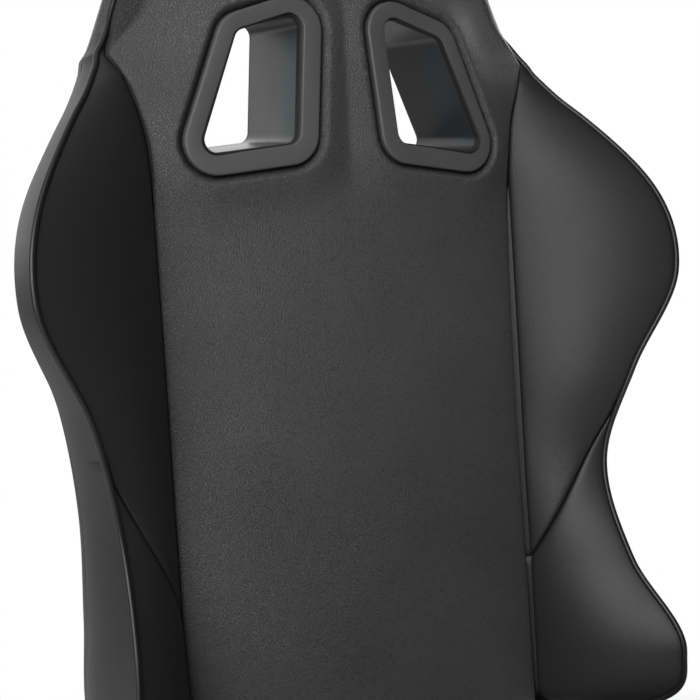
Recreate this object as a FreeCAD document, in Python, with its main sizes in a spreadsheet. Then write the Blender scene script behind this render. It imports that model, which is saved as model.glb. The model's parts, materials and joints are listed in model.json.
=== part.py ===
# Reclining racing-style bucket seat with harness slots, on floor rails.
# X runs across the seat to the occupant's left, Y to the rear, Z up, in millimetres.
# The origin is the middle of the four floor bolts, on the floor.

import FreeCAD, Part
import math
import os
import re
import Sketcher
from FreeCAD import Placement, Rotation, Vector

SIZES = {
    # Floor bolts and the feet under the lower rails
    "bolt_spacing_across": 400,
    "bolt_spacing_along": 424,
    "bolt_hole_radius": 4.25,
    "foot_height": 16,
    "foot_sheet": 3,
    "foot_width": 44,
    "foot_toe": 20,
    "foot_shelf": 44,
    "foot_screw_radius": 3,
    "foot_screw_inset": 18,
    "screw_head_radius": 6,
    "screw_head_height": 3,
    "nut_height": 4,
    # Lower rail: a channel with its lips turned down
    "lower_rail_length": 380,
    "lower_rail_half": 28,
    "lower_rail_height": 30,
    "rail_wall": 2.2,
    "lip_gap_half": 15,
    "lip_drop": 10,
    "notch_pitch": 10,
    "notch_width": 5,
    "notch_count": 26,
    # Upper rail: a box whose hooks run under the lips
    "upper_rail_length": 340,
    "upper_rail_half": 12,
    "upper_rail_top": 48,
    "hook_height": 8,
    "hook_reach": 23,
    "hook_rise": 16,
    # Balls between the rails, and the cage that spaces them
    "ball_gap": 0.1,
    "ball_pitch": 85,
    "cage_length": 200,
    "cage_half": 22.5,
    "cage_window_half": 12.5,
    "cage_bridge": 12,
    "cage_thickness": 2.4,
    "cage_hole_gap": 0.15,
    # Latch plates, their pins and the slide bar
    "latch_thickness": 4,
    "latch_offset": 20,
    "latch_pivot_place": -40,
    "latch_pivot_up": 40,
    "latch_length": 85,
    "latch_depth": 16,
    "latch_lift": 0.5,
    "tooth_count": 4,
    "tooth_width": 4,
    "tooth_root": 1,
    "pin_radius": 4,
    "pin_collar_radius": 6.5,
    "pin_head_radius": 5.5,
    "pin_head_height": 2.5,
    "pin_gap": 0.1,
    "side_gap": 0.3,
    "bar_radius": 6,
    "bar_wall": 1.5,
    "bar_front": -300,
    "bar_bend": 45,
    "bar_height": 62,
    "grip_length": 140,
    "grip_radius": 11,
    "grip_bevel": 2.5,
    # Side frames of the seat base
    "frame_sheet": 3,
    "frame_offset": 13,
    "frame_top": 163,
    "frame_front": -285,
    "frame_nose_up": 124,
    "frame_toe_run": 89,
    "frame_round": 12,
    "frame_flange_length": 320,
    "frame_hole_radius": 24,
    "frame_hole_pitch": 100,
    "frame_hole_count": 3,
    "frame_hole_start": -130,
    "frame_hole_up": 116,
    "tower_front": 42,
    "tower_rear": 42,
    "tower_up": 40,
    "tower_round": 36,
    "tower_slope_run": 14,
    "base_tube_radius": 12.5,
    "base_tube_wall": 2,
    "base_tube_up": 118,
    "front_tube_place": -200,
    "rear_tube_place": 120,
    "frame_screw_radius": 4,
    "frame_screw_head": 7.5,
    "frame_screw_place": 130,
    # Seat pan
    "pan_sheet": 2,
    "pan_top": 165,
    "pan_flange": 26,
    "pan_front": -284,
    "pan_rear": 130,
    "pan_hole_radius": 34,
    "pan_hole_pitch": 110,
    # Recline axis and recliners
    "pivot_place": 205,
    "pivot_up": 190,
    "recline_angle": 8,
    "arm_sheet": 5,
    "arm_length": 150,
    "arm_front": 30,
    "arm_rear": 32,
    "arm_foot_half": 10,
    "arm_foot_corner": 20,
    "arm_shoulder": 24,
    "arm_drop": 6,
    "arm_round": 7,
    "disc_radius": 34,
    "disc_thickness": 8.7,
    "moving_disc_inset": 2,
    "disc_gap": 0.3,
    "rod_radius": 5,
    "rod_gap": 0.4,
    "shield_depth": 18,
    "shield_wall": 2.5,
    "shield_gap": 0.3,
    "shield_front": -235,
    "shield_bottom": 76,
    "shield_margin": 3.5,
    "shield_toe_run": 45,
    "shield_heel_run": 10,
    "shield_heel_drop": 20,
    "shield_step_run": 25,
    "shield_drop": 4,
    "shield_nose_drop": 48,
    "shield_tower_round": 41,
    "shield_corner_round": 12,
    "shield_edge_round": 6,
    "shield_hole_radius": 11,
    "lever_gap": 6,
    "lever_sheet": 6,
    "lever_length": 140,
    "lever_slope": 20,
    "lever_hub_radius": 14,
    "lever_arm_half": 9,
    "lever_round": 7,
    "lever_grip_length": 72,
    "lever_grip_half": 14,
    "lever_grip_wall": 4,
    "lever_grip_round": 9,
    "lever_grip_bevel": 2.5,
    "lever_screw_radius": 9,
    "lever_screw_height": 3,
    # Back frame of bent tube
    "back_tube_radius": 12.5,
    "back_tube_wall": 2,
    "back_tube_set": 15,
    "hoop_foot": 20,
    "hoop_shoulder": 590,
    "hoop_neck": 720,
    "hoop_top": 800,
    "hoop_head_half": 95,
    "hoop_bend": 45,
    "harness_bar_radius": 10,
    "harness_bar_up": 520,
    "lower_bar_up": 100,
    "strap_width": 45,
    "strap_thickness": 1.5,
    "strap_gap": 0.3,
    "strap_start": 180,
    "strap_pitch": 72,
    "strap_count": 4,
    # Centre pad of the back
    "face_set": 35,
    "back_centre_half": 163,
    "centre_crown": 13,
    "pad_bottom": 10,
    "flare_start": 540,
    "neck_up": 633,
    "neck_flare": 26,
    "neck_fall": 9,
    "neck_crown": 13,
    "section_step": 26,
    # Rear cover of the back
    "cover_depth": 52,
    "cover_wall": 4,
    "cover_corner": 44,
    "cover_corner_run": 7,
    "cover_corner_depth": 32,
    "cover_set": 0.2,
    "cover_notch_half": 20,
    "cover_notch_rise": 40,
    "panel_sheet": 3,
    "panel_margin": 6,
    "panel_gap": 1,
    # Harness slots, as seen from the front: corners of the opening
    "slot_top_inner": 36,
    "slot_top_outer": 92,
    "slot_low_inner": 46,
    "slot_low_outer": 130,
    "slot_top_up": 667,
    "slot_top_fall": 18,
    "slot_low_up": 562,
    "slot_low_fall": 9.5,
    "slot_round": 10,
    "bezel_rim": 16,
    "bezel_thickness": 7,
    "bezel_face": 51,
    "bezel_turn": 4.3,
    "sleeve_wall": 2,
    "sleeve_gap": 0.3,
    "rear_bezel_rim": 13,
    "rear_bezel_thickness": 4,
    # Diagonal seam that parts each wing, and the swell of its front and side as shares
    "seam_low_up": 193,
    "seam_rise": 126,
    "seam_run": 62,
    "wing_crown": 0.08,
    "gusset_crown": 0.05,
    # Seat cushion and thigh bolsters
    "cushion_half": 158,
    "cushion_crown": 10,
    "cushion_draw": 5,
    "cushion_gap": 0.3,
    "bolster_crest_share": 0.52,
    "bolster_side_share": 0.5,
    # How far a cutting tool passes what it cuts
    "tool_room": 40,
}

# Shape of a back wing at stations up the back, from the recline axis: how far its front edge
# stands outside the centre seam and ahead of the seam plane, and how far its rear edge stands
# outside the centre seam.
WING_STATIONS = {
    #            up  width  ahead  rear
    "foot":     (62, 46, 62, 50),
    "heel":     (76, 64, 92, 64),
    "lumbar":   (118, 74, 113, 71),
    "loin":     (195, 59, 69, 68),
    "waist":    (280, 57, 41, 66),
    "rib":      (360, 77, 62, 75),
    "shoulder": (445, 114, 82, 98),
    "upper":    (520, 101, 68, 90),
    "collar":   (582, 58, 24, 50),
    "nape":     (628, 8, -9, 6),
}

# Head of the centre pad above the neck: half width, and how far its edges fall behind the
# seam plane and its middle stands ahead of it.
HEAD_STATIONS = {
    #           up  half  fall  crown
    "chin":    (660, 180, 15, 13),
    "cheek":   (695, 167, 17, 13),
    "temple":  (745, 153, 17, 13),
    "brow":    (795, 138, 18, 12),
    "crown":   (828, 116, 22, 7),
    "top":     (848, 84, 27, 0),
}

# Seat cushion at stations along it: top of the centre and crest of the thigh bolsters above
# the pan, and the bolsters' outer half width.
CUSHION_STATIONS = {
    #          place  top  crest  outer
    "nose":   (-300, 30, 38, 222),
    "lip":    (-284, 76, 96, 238),
    "thigh":  (-228, 104, 141, 250),
    "middle": (-90, 99, 136, 250),
    "hip":    (30, 82, 86, 238),
    "tail":   (118, 66, 61, 222),
    "end":    (146, 48, 42, 214),
}

doc = FreeCAD.newDocument("racing_seat")
dims = doc.addObject("Spreadsheet::Sheet", "dims")
for table, words in (
    (WING_STATIONS, ("up", "width", "ahead", "rear")),
    (HEAD_STATIONS, ("up", "half", "fall", "crown")),
    (CUSHION_STATIONS, ("place", "top", "crest", "outer")),
):
    for station, numbers in table.items():
        for word, number in zip(words, numbers):
            SIZES[f"{station}_{word}"] = number
for row, (name, number) in enumerate(SIZES.items(), start=1):
    dims.set(f"A{row}", name)
    dims.set(f"B{row}", str(number))
    dims.setAlias(f"B{row}", name)
doc.recompute()

parts = []


def value(expression):
    """The number that an expression in the sheet's names gives."""
    return float(dims.evalExpression(expression))


def bind(thing, target, expression):
    """Ties one property of an object to an expression in the sheet's names."""
    thing.setExpression(target, re.sub(r"\b([a-z]+(?:_[a-z]+)+)\b", r"dims.\1", expression))


def keep(thing, label):
    """Lists a finished sub-part under the name of its file."""
    thing.Label = label
    parts.append(thing)
    return thing


def new_body(label):
    """An empty body, listed as a sub-part."""
    return keep(doc.addObject("PartDesign::Body", label), label)


def origin_feature(body, role):
    """One of a body's own origin planes or axes."""
    return next(feature for feature in body.Origin.OriginFeatures if feature.Role == role)


def new_sketch(body, name, role, level="0"):
    """An empty sketch on an origin plane of its body, at a level along the plane's normal."""
    sketch = body.newObject("Sketcher::SketchObject", name)
    sketch.AttachmentSupport = [(origin_feature(body, role), "")]
    sketch.MapMode = "FlatFace"
    if level != "0":
        bind(sketch, "AttachmentOffset.Base.z", level)
    return sketch


def pin_point(sketch, geometry, end, across, up):
    """Ties a sketch point's two coordinates to expressions."""
    for kind, expression in (("DistanceX", across), ("DistanceY", up)):
        limit = Sketcher.Constraint(kind, -1, 1, geometry, end, value(expression))
        bind(sketch, f"Constraints[{sketch.addConstraint(limit)}]", expression)


def draw_outline(sketch, corners):
    """A closed outline of straight sides through corners given as pairs of expressions."""
    points = [Vector(value(across), value(up), 0) for across, up in corners]
    sides = []
    for here, there in zip(points, points[1:] + points[:1]):
        sides.append(sketch.addGeometry(Part.LineSegment(here, there), False))
    for side, following in zip(sides, sides[1:] + sides[:1]):
        sketch.addConstraint(Sketcher.Constraint("Coincident", side, 2, following, 1))
    for side, (across, up) in zip(sides, corners):
        pin_point(sketch, side, 1, across, up)


def draw_circle(sketch, across, up, radius):
    """A circle with its centre and radius given as expressions."""
    middle = Vector(value(across), value(up), 0)
    circle = sketch.addGeometry(Part.Circle(middle, Vector(0, 0, 1), value(radius)), False)
    pin_point(sketch, circle, 3, across, up)
    limit = Sketcher.Constraint("Radius", circle, value(radius))
    bind(sketch, f"Constraints[{sketch.addConstraint(limit)}]", radius)


def add_pad(body, sketch, name, length):
    """Material on both sides of a sketch, over one length in all."""
    feature = body.newObject("PartDesign::Pad", name)
    feature.Profile = sketch
    feature.SideType = "Symmetric"
    bind(feature, "Length", length)
    doc.recompute()
    return feature


def add_pocket(body, sketch, name, length):
    """A cut on both sides of a sketch, over one length in all."""
    feature = body.newObject("PartDesign::Pocket", name)
    feature.Profile = sketch
    feature.SideType = "Symmetric"
    bind(feature, "Length", length)
    doc.recompute()
    return feature


def slab(body, name, role, corners, level, length):
    """A pad of a straight-sided outline, centred on a level."""
    sketch = new_sketch(body, f"{name}_outline", role, level)
    draw_outline(sketch, corners)
    return add_pad(body, sketch, name, length)


def cut_slab(body, name, role, corners, level, length):
    """A pocket of a straight-sided outline, centred on a level."""
    sketch = new_sketch(body, f"{name}_outline", role, level)
    draw_outline(sketch, corners)
    return add_pocket(body, sketch, name, length)


def disc(body, name, role, rings, level, length):
    """A pad of one or more circles, centred on a level."""
    sketch = new_sketch(body, f"{name}_rings", role, level)
    for across, up, radius in rings:
        draw_circle(sketch, across, up, radius)
    return add_pad(body, sketch, name, length)


def cut_disc(body, name, role, rings, level, length):
    """A pocket of one or more circles, centred on a level."""
    sketch = new_sketch(body, f"{name}_rings", role, level)
    for across, up, radius in rings:
        draw_circle(sketch, across, up, radius)
    return add_pocket(body, sketch, name, length)


def repeat(body, feature, axis, step, count):
    """A row of copies of a feature along one of the body's axes."""
    row = body.newObject("PartDesign::LinearPattern", f"{feature.Name}_row")
    row.Originals = [feature]
    row.Direction = (origin_feature(body, axis), [""])
    row.Mode = "Spacing"
    bind(row, "Offset", step)
    row.Occurrences = round(value(count))
    body.Tip = row
    doc.recompute()
    return row


def dress_edges(body, feature, kind, size, choose):
    """A fillet or a chamfer on the edges of a feature that the test picks."""
    names = []
    for number, edge in enumerate(feature.Shape.Edges, start=1):
        if choose(edge):
            names.append(f"Edge{number}")
    dressed = body.newObject(f"PartDesign::{kind}", f"{feature.Name}_{kind.lower()}")
    dressed.Base = (feature, names)
    bind(dressed, {"Fillet": "Radius", "Chamfer": "Size"}[kind], size)
    doc.recompute()
    return dressed


def along(edge, axis):
    """True for a straight edge along an axis."""
    if edge.Curve.TypeId != "Part::GeomLine":
        return False
    run = edge.Vertexes[1].Point - edge.Vertexes[0].Point
    return abs(abs(run.normalize().dot(axis)) - 1) < 1e-6


def line(first, last):
    """A straight edge."""
    return Part.LineSegment(first, last).toShape()


def arc(first, middle, last):
    """An edge that is part of a circle through three points."""
    return Part.Arc(first, middle, last).toShape()


def neighbours(points):
    """Each point of a closed outline with the one before it and the one after it."""
    return zip(points[-1:] + points[:-1], points, points[1:] + points[:1])


def grown(corners, distance, normal):
    """A closed outline with its corners moved outwards, drawn about a normal."""
    moved = []
    for before, here, after in neighbours(corners):
        into, out = (here - before).normalize(), (after - here).normalize()
        shift = into.cross(normal) * distance
        moved.append(here + shift + into * (distance * math.tan(into.getAngle(out) / 2)
                                            * (1 if into.cross(out).dot(normal) > 0 else -1)))
    return moved


def rounded_outline(corners, radii):
    """A closed wire through corners, each rounded by its radius or by what its sides allow."""
    starts, middles, stops = [], [], []
    for (before, here, after), radius in zip(neighbours(corners), radii):
        back, on = before - here, after - here
        half = back.getAngle(on) / 2
        radius = min(radius, 0.49 * min(back.Length, on.Length) * math.tan(half))
        back, on = back.normalize(), on.normalize()
        starts.append(here + back * (radius / math.tan(half)))
        middles.append(here + (back + on).normalize() * (radius / math.sin(half) - radius))
        stops.append(here + on * (radius / math.tan(half)))
    edges = []
    for number, stop in enumerate(stops):
        edges.append(arc(starts[number], middles[number], stop))
        edges.append(line(stop, starts[(number + 1) % len(starts)]))
    return Part.Wire(edges)


def holed_face(wires):
    """A flat face inside the first wire and outside the others."""
    return Part.makeFace(wires, "Part::FaceMakerBullseye")


def bent_tube(label, corners, bend, radius, wall):
    """A round tube along straight runs, with a bend of one radius at each inner corner."""
    edges, end = [], corners[0]
    for before, here, after in zip(corners, corners[1:], corners[2:]):
        back, on = (before - here).normalize(), (after - here).normalize()
        half = back.getAngle(on) / 2
        start, stop = (here + way * (bend / math.tan(half)) for way in (back, on))
        middle = here + (back + on).normalize() * (bend / math.sin(half) - bend)
        edges += [line(end, start), arc(start, middle, stop)]
        end = stop
    edges.append(line(end, corners[-1]))
    heading = corners[1] - corners[0]
    rings = [Part.Wire(Part.Circle(corners[0], heading, size).toShape())
             for size in (radius, radius - wall)]
    return plain_solid(label, Part.Wire(edges).makePipe(holed_face(rings)))


def mirrored(source, label, normal=Vector(1, 0, 0)):
    """The same piece on the other side."""
    copy = doc.addObject("Part::Mirroring", label)
    copy.Source = source
    copy.Normal = normal
    return keep(copy, label)


def straight_pin(name, places, axis, sections):
    """Pins at several places, each a stack of cylinders or hexagons along X or Z."""
    pins = []
    for number, place in enumerate(places):
        rods = []
        for step, (start, length, radius, kind) in enumerate(sections):
            rod = doc.addObject(f"Part::{kind}", f"{name}_{number}_{step}")
            bind(rod, {"Cylinder": "Radius", "Prism": "Circumradius"}[kind], radius)
            bind(rod, "Height", length)
            if axis == "X":
                rod.Placement = Placement(Vector(), Rotation(Vector(0, 1, 0), 90))
            for letter, expression in zip("xyz", place):
                extra = f" + {start}" if letter.upper() == axis else ""
                bind(rod, f"Placement.Base.{letter}", expression + extra)
            rods.append(rod)
        if len(rods) > 1:
            pin = doc.addObject("Part::MultiFuse", f"{name}_{number}")
            pin.Shapes = rods
        else:
            pin = rods[0]
        pins.append(pin)
    if len(pins) == 1:
        return keep(pins[0], name)
    group = doc.addObject("Part::Compound", name)
    group.Links = pins
    return keep(group, name)


def plain_solid(label, shape):
    """A sub-part whose shape is worked out from lofts and cuts."""
    thing = doc.addObject("Part::Feature", label)
    thing.Shape = shape
    return keep(thing, label)


def lean(thing):
    """Sets a piece that was drawn upright at the recline axis to the back's rest angle."""
    thing.Placement = Placement(Vector(), Rotation(Vector(-1, 0, 0), value("recline_angle")))
    bind(thing, "Placement.Rotation.Angle", "recline_angle")
    bind(thing, "Placement.Base.y", "pivot_place")
    bind(thing, "Placement.Base.z", "pivot_up")
    return thing


X_AXIS = Vector(1, 0, 0)
Y_AXIS = Vector(0, 1, 0)
Z_AXIS = Vector(0, 0, 1)
rail = "bolt_spacing_across / 2"
floor_bolt = "bolt_spacing_along / 2"

# Rail feet: stepped sheet brackets that lift the lower rails off the floor.
foot = new_body("rail_foot_rear_right")
foot_step = "lower_rail_length / 2"
slab(foot, "foot_bracket", "YZ_Plane", [
    (f"{foot_step} - foot_shelf", "foot_height - foot_sheet"),
    (f"{foot_step}", "foot_height - foot_sheet"),
    (f"{foot_step}", "0"),
    (f"{floor_bolt} + foot_toe", "0"),
    (f"{floor_bolt} + foot_toe", "foot_sheet"),
    (f"{foot_step} + foot_sheet", "foot_sheet"),
    (f"{foot_step} + foot_sheet", "foot_height"),
    (f"{foot_step} - foot_shelf", "foot_height"),
], rail, "foot_width")
foot_ring = [(rail, floor_bolt, "bolt_hole_radius")]
cut_disc(foot, "floor_bolt_hole", "XY_Plane", foot_ring, "0", "4 * foot_sheet")
foot_screw_place = f"{foot_step} - foot_screw_inset"
foot_screw_ring = [(rail, foot_screw_place, "foot_screw_radius + pin_gap")]
cut_disc(foot, "rail_screw_hole", "XY_Plane", foot_screw_ring, "foot_height", "4 * foot_sheet")
mirrored(foot, "rail_foot_rear_left")
front_foot = mirrored(foot, "rail_foot_front_right", Y_AXIS)
mirrored(front_foot, "rail_foot_front_left")

# Screws that hold the feet under the lower rails, each with its nut.
foot_screws = []
for side in ("", "-"):
    for end in ("", "-"):
        foot_screws.append((f"{side}({rail})", f"{end}({foot_screw_place})", "foot_height"))
straight_pin("foot_screws", foot_screws, "Z", [
    ("rail_wall", "screw_head_height", "screw_head_radius", "Prism"),
    ("(-foot_sheet)", "foot_sheet + rail_wall", "foot_screw_radius", "Cylinder"),
    ("(-foot_sheet - nut_height)", "nut_height", "screw_head_radius", "Prism"),
])

# Lower rail: a rolled channel with turned-down lips, and a row of latch notches in the
# inboard lip.
lower_rail = new_body("lower_rail_right")
base = "foot_height"
rail_top = "foot_height + lower_rail_height"


def rail_profile(half_points):
    """The whole profile of a rail from the points of its right half, listed upwards."""
    right = [(f"{rail} + {across}", up) for across, up in half_points]
    left = [(f"{rail} - ({across})", up) for across, up in reversed(half_points)]
    return right + left


slab(lower_rail, "rolled_channel", "XZ_Plane", rail_profile([
    ("lower_rail_half", base),
    ("lower_rail_half", rail_top),
    ("lip_gap_half", rail_top),
    ("lip_gap_half", f"{rail_top} - lip_drop"),
    ("lip_gap_half + rail_wall", f"{rail_top} - lip_drop"),
    ("lip_gap_half + rail_wall", f"{rail_top} - rail_wall"),
    ("lower_rail_half - rail_wall", f"{rail_top} - rail_wall"),
    ("lower_rail_half - rail_wall", f"{base} + rail_wall"),
]), "0", "lower_rail_length")
for name, sign in (("front_screw_hole", "-"), ("rear_screw_hole", "")):
    ring = [(rail, f"{sign}({foot_screw_place})", "foot_screw_radius + pin_gap")]
    cut_disc(lower_rail, name, "XY_Plane", ring, base, "4 * rail_wall")
notch_start = "latch_pivot_place - latch_length + tooth_width - floor(notch_count / 3) * notch_pitch"
latch_middle = f"{rail} - latch_offset - latch_thickness / 2"
notch = cut_slab(lower_rail, "latch_notch", "XY_Plane", [
    (f"{latch_middle} - latch_thickness / 2 - side_gap", f"{notch_start} - notch_width / 2"),
    (f"{latch_middle} + latch_thickness / 2 + side_gap", f"{notch_start} - notch_width / 2"),
    (f"{latch_middle} + latch_thickness / 2 + side_gap", f"{notch_start} + notch_width / 2"),
    (f"{latch_middle} - latch_thickness / 2 - side_gap", f"{notch_start} + notch_width / 2"),
], rail_top, "4 * rail_wall")
repeat(lower_rail, notch, "Y_Axis", "notch_pitch", "notch_count")
mirrored(lower_rail, "lower_rail_left")

# Upper rail: a box section whose hooks run inside the lower rail, under its lips.
upper_rail = new_body("upper_rail_right")
box_top = "foot_height + upper_rail_top"
hook_low = "foot_height + hook_height"
slab(upper_rail, "rolled_box", "XZ_Plane", rail_profile([
    ("upper_rail_half - rail_wall", hook_low),
    ("hook_reach", hook_low),
    ("hook_reach", f"{hook_low} + hook_rise"),
    ("hook_reach - rail_wall", f"{hook_low} + hook_rise"),
    ("hook_reach - rail_wall", f"{hook_low} + rail_wall"),
    ("upper_rail_half", f"{hook_low} + rail_wall"),
    ("upper_rail_half", box_top),
])[:7] + [
    (f"{rail} - upper_rail_half", box_top),
    (f"{rail} - upper_rail_half", f"{hook_low} + rail_wall"),
    (f"{rail} - (hook_reach - rail_wall)", f"{hook_low} + rail_wall"),
    (f"{rail} - (hook_reach - rail_wall)", f"{hook_low} + hook_rise"),
    (f"{rail} - hook_reach", f"{hook_low} + hook_rise"),
    (f"{rail} - hook_reach", hook_low),
    (f"{rail} - (upper_rail_half - rail_wall)", hook_low),
    (f"{rail} - (upper_rail_half - rail_wall)", f"{box_top} - rail_wall"),
    (f"{rail} + upper_rail_half - rail_wall", f"{box_top} - rail_wall"),
], "0", "upper_rail_length")
mirrored(upper_rail, "upper_rail_left")

# Ball cage: a flat moulded strip with a window, and the balls in its holes.
ball_radius = "((hook_height - rail_wall) / 2 - ball_gap)"
ball_level = f"{base} + (hook_height + rail_wall) / 2"
ball_line = "(hook_reach + upper_rail_half) / 2"
cage = new_body("ball_cage_right")
cage_end = "cage_length / 2"
slab(cage, "cage_strip", "XY_Plane", [
    (f"{rail} - cage_half", f"-{cage_end}"),
    (f"{rail} + cage_half", f"-{cage_end}"),
    (f"{rail} + cage_half", cage_end),
    (f"{rail} - cage_half", cage_end),
], ball_level, "cage_thickness")
cut_slab(cage, "cage_window", "XY_Plane", [
    (f"{rail} - cage_window_half", f"-{cage_end} + cage_bridge"),
    (f"{rail} + cage_window_half", f"-{cage_end} + cage_bridge"),
    (f"{rail} + cage_window_half", f"{cage_end} - cage_bridge"),
    (f"{rail} - cage_window_half", f"{cage_end} - cage_bridge"),
], ball_level, "2 * cage_thickness")
balls = []
ball_rings = []
for sign in ("+", "-"):
    for place in ("-ball_pitch", "ball_pitch"):
        ball = doc.addObject("Part::Sphere", f"rail_ball_{len(balls)}")
        bind(ball, "Radius", ball_radius)
        for letter, expression in zip("xyz", (f"{rail} {sign} {ball_line}", place, ball_level)):
            bind(ball, f"Placement.Base.{letter}", expression)
        balls.append(ball)
        ball_rings.append((f"{rail} {sign} {ball_line}", place, f"{ball_radius} + cage_hole_gap"))
cut_disc(cage, "ball_holes", "XY_Plane", ball_rings, ball_level, "2 * cage_thickness")
mirrored(cage, "ball_cage_left")
ball_set = doc.addObject("Part::Compound", "rail_balls_right")
ball_set.Links = balls
mirrored(keep(ball_set, "rail_balls_right"), "rail_balls_left")

# Latch plate: its comb of teeth drops into the notches of the lower rail.
latch = new_body("latch_plate_right")
latch_up = "foot_height + latch_pivot_up"
latch_low = f"{rail_top} + latch_lift + latch_thickness"
latch_front = "latch_pivot_place - latch_length"
slab(latch, "latch_arm", "YZ_Plane", [
    (latch_front, latch_low),
    ("latch_pivot_place + latch_depth / 2", latch_low),
    ("latch_pivot_place + latch_depth / 2", f"{latch_low} + latch_depth"),
    (latch_front, f"{latch_low} + latch_depth"),
], latch_middle, "latch_thickness")
tooth_place = f"{latch_front} + tooth_width"
tooth = slab(latch, "comb_tooth", "YZ_Plane", [
    (f"{tooth_place} - tooth_width / 2", f"{rail_top} + latch_lift"),
    (f"{tooth_place} + tooth_width / 2", f"{rail_top} + latch_lift"),
    (f"{tooth_place} + tooth_width / 2", f"{latch_low} + tooth_root"),
    (f"{tooth_place} - tooth_width / 2", f"{latch_low} + tooth_root"),
], latch_middle, "latch_thickness")
repeat(latch, tooth, "Y_Axis", "notch_pitch", "tooth_count")
latch_ring = [("latch_pivot_place", latch_up, "pin_radius + pin_gap")]
cut_disc(latch, "pivot_hole", "YZ_Plane", latch_ring, latch_middle, "3 * latch_thickness")
mirrored(latch, "latch_plate_left")

# Latch pin: a shouldered pin on the upper rail's inboard wall.
latch_face = f"{rail} - latch_offset"
latch_pin = straight_pin("latch_pin_right", [(latch_face, "latch_pivot_place", latch_up)], "X", [
    ("side_gap", "latch_offset - upper_rail_half - side_gap", "pin_collar_radius",
     "Cylinder"),
    ("(-latch_thickness - side_gap)", "latch_thickness + 2 * side_gap", "pin_radius",
     "Cylinder"),
    ("(-latch_thickness - side_gap - pin_head_height)", "pin_head_height",
     "pin_head_radius", "Cylinder"),
])
mirrored(latch_pin, "latch_pin_left")

# Slide bar: a bent tube from one latch plate round the front to the other, with a grip.
bar_side = value(f"{rail} - latch_offset - latch_thickness - bar_radius")
bar_end = value("latch_pivot_place - 2 * latch_depth")
bar_front = value("bar_front")
bent_tube("slide_bar", [Vector(across, place, value("bar_height")) for across, place in (
    (bar_side, bar_end), (bar_side, bar_front), (-bar_side, bar_front), (-bar_side, bar_end))],
    value("bar_bend"), value("bar_radius"), value("bar_wall"))
slide_grip = new_body("slide_grip")
grip_rings = [("bar_front", "bar_height", "grip_radius"), ("bar_front", "bar_height", "bar_radius")]
grip_pad = disc(slide_grip, "grip_sleeve", "YZ_Plane", grip_rings, "0", "grip_length")
dress_edges(slide_grip, grip_pad, "Chamfer", "grip_bevel", lambda edge: (
    edge.Curve.TypeId == "Part::GeomCircle" and abs(edge.Curve.Radius - value("grip_radius")) < 0.01))

# Side frame: a pressed plate that rises from the upper rail to the recliner tower.
side_frame = new_body("side_frame_right")
frame_inner = f"({rail} + frame_offset)"
frame_middle = f"{frame_inner} + frame_sheet / 2"
tower_end = "pivot_place + tower_rear"
frame_plate = slab(side_frame, "frame_plate", "YZ_Plane", [
    ("frame_front + frame_toe_run", box_top),
    ("pivot_place", box_top),
    (tower_end, "pivot_up - tower_up"),
    (tower_end, "pivot_up + tower_up"),
    ("pivot_place - tower_front", "pivot_up + tower_up"),
    ("pivot_place - tower_front - tower_slope_run", "frame_top"),
    ("frame_front", "frame_top"),
    ("frame_front", "frame_nose_up"),
], frame_middle, "frame_sheet")
tower_rounds = dress_edges(side_frame, frame_plate, "Fillet", "tower_round", lambda edge: (
    along(edge, X_AXIS) and edge.CenterOfMass.z > value("pivot_up")))
dress_edges(side_frame, tower_rounds, "Fillet", "frame_round", lambda edge: (
    along(edge, X_AXIS)
    and value(f"{box_top} + frame_sheet") < edge.CenterOfMass.z < value("pivot_up")))
flange_middle = f"({rail} - upper_rail_half + {frame_inner} + frame_sheet) / 2"
slab(side_frame, "rail_flange", "XY_Plane", [
    (f"{rail} - upper_rail_half", "-frame_flange_length / 2"),
    (f"{frame_inner} + frame_sheet", "-frame_flange_length / 2"),
    (f"{frame_inner} + frame_sheet", "frame_flange_length / 2"),
    (f"{rail} - upper_rail_half", "frame_flange_length / 2"),
], f"{box_top} + frame_sheet / 2", "frame_sheet")
frame_hole = cut_disc(side_frame, "light_hole", "YZ_Plane",
                      [("frame_hole_start", "frame_hole_up", "frame_hole_radius")],
                      frame_middle, "3 * frame_sheet")
repeat(side_frame, frame_hole, "Y_Axis", "frame_hole_pitch", "frame_hole_count")
cut_disc(side_frame, "rod_hole", "YZ_Plane", [("pivot_place", "pivot_up", "rod_radius + rod_gap")],
         frame_middle, "3 * frame_sheet")
for name, sign in (("front_rail_hole", "-"), ("rear_rail_hole", "")):
    ring = [(rail, f"{sign}frame_screw_place", "frame_screw_radius + pin_gap")]
    cut_disc(side_frame, name, "XY_Plane", ring, f"{box_top} + frame_sheet / 2", "2 * frame_sheet")
    cut_disc(upper_rail, name, "XY_Plane", ring, f"{box_top} - rail_wall / 2", "2 * rail_wall")
mirrored(side_frame, "side_frame_left")

# Screws that hold the side frames on the upper rails.
frame_screws = []
for side in ("", "-"):
    for end in ("", "-"):
        frame_screws.append((f"{side}({rail})", f"{end}frame_screw_place", box_top))
straight_pin("frame_screws", frame_screws, "Z", [
    ("frame_sheet", "screw_head_height", "frame_screw_head", "Prism"),
    ("(-rail_wall)", "rail_wall + frame_sheet", "frame_screw_radius", "Cylinder"),
    ("(-rail_wall - nut_height)", "nut_height", "frame_screw_head", "Prism"),
])

# Cross tubes that tie the two side frames.
for label, place in (("front_cross_tube", "front_tube_place"), ("rear_cross_tube", "rear_tube_place")):
    tube = new_body(label)
    rings = [(place, "base_tube_up", "base_tube_radius"),
             (place, "base_tube_up", "base_tube_radius - base_tube_wall")]
    disc(tube, "round_tube", "YZ_Plane", rings, "0", f"2 * {frame_inner}")

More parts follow.
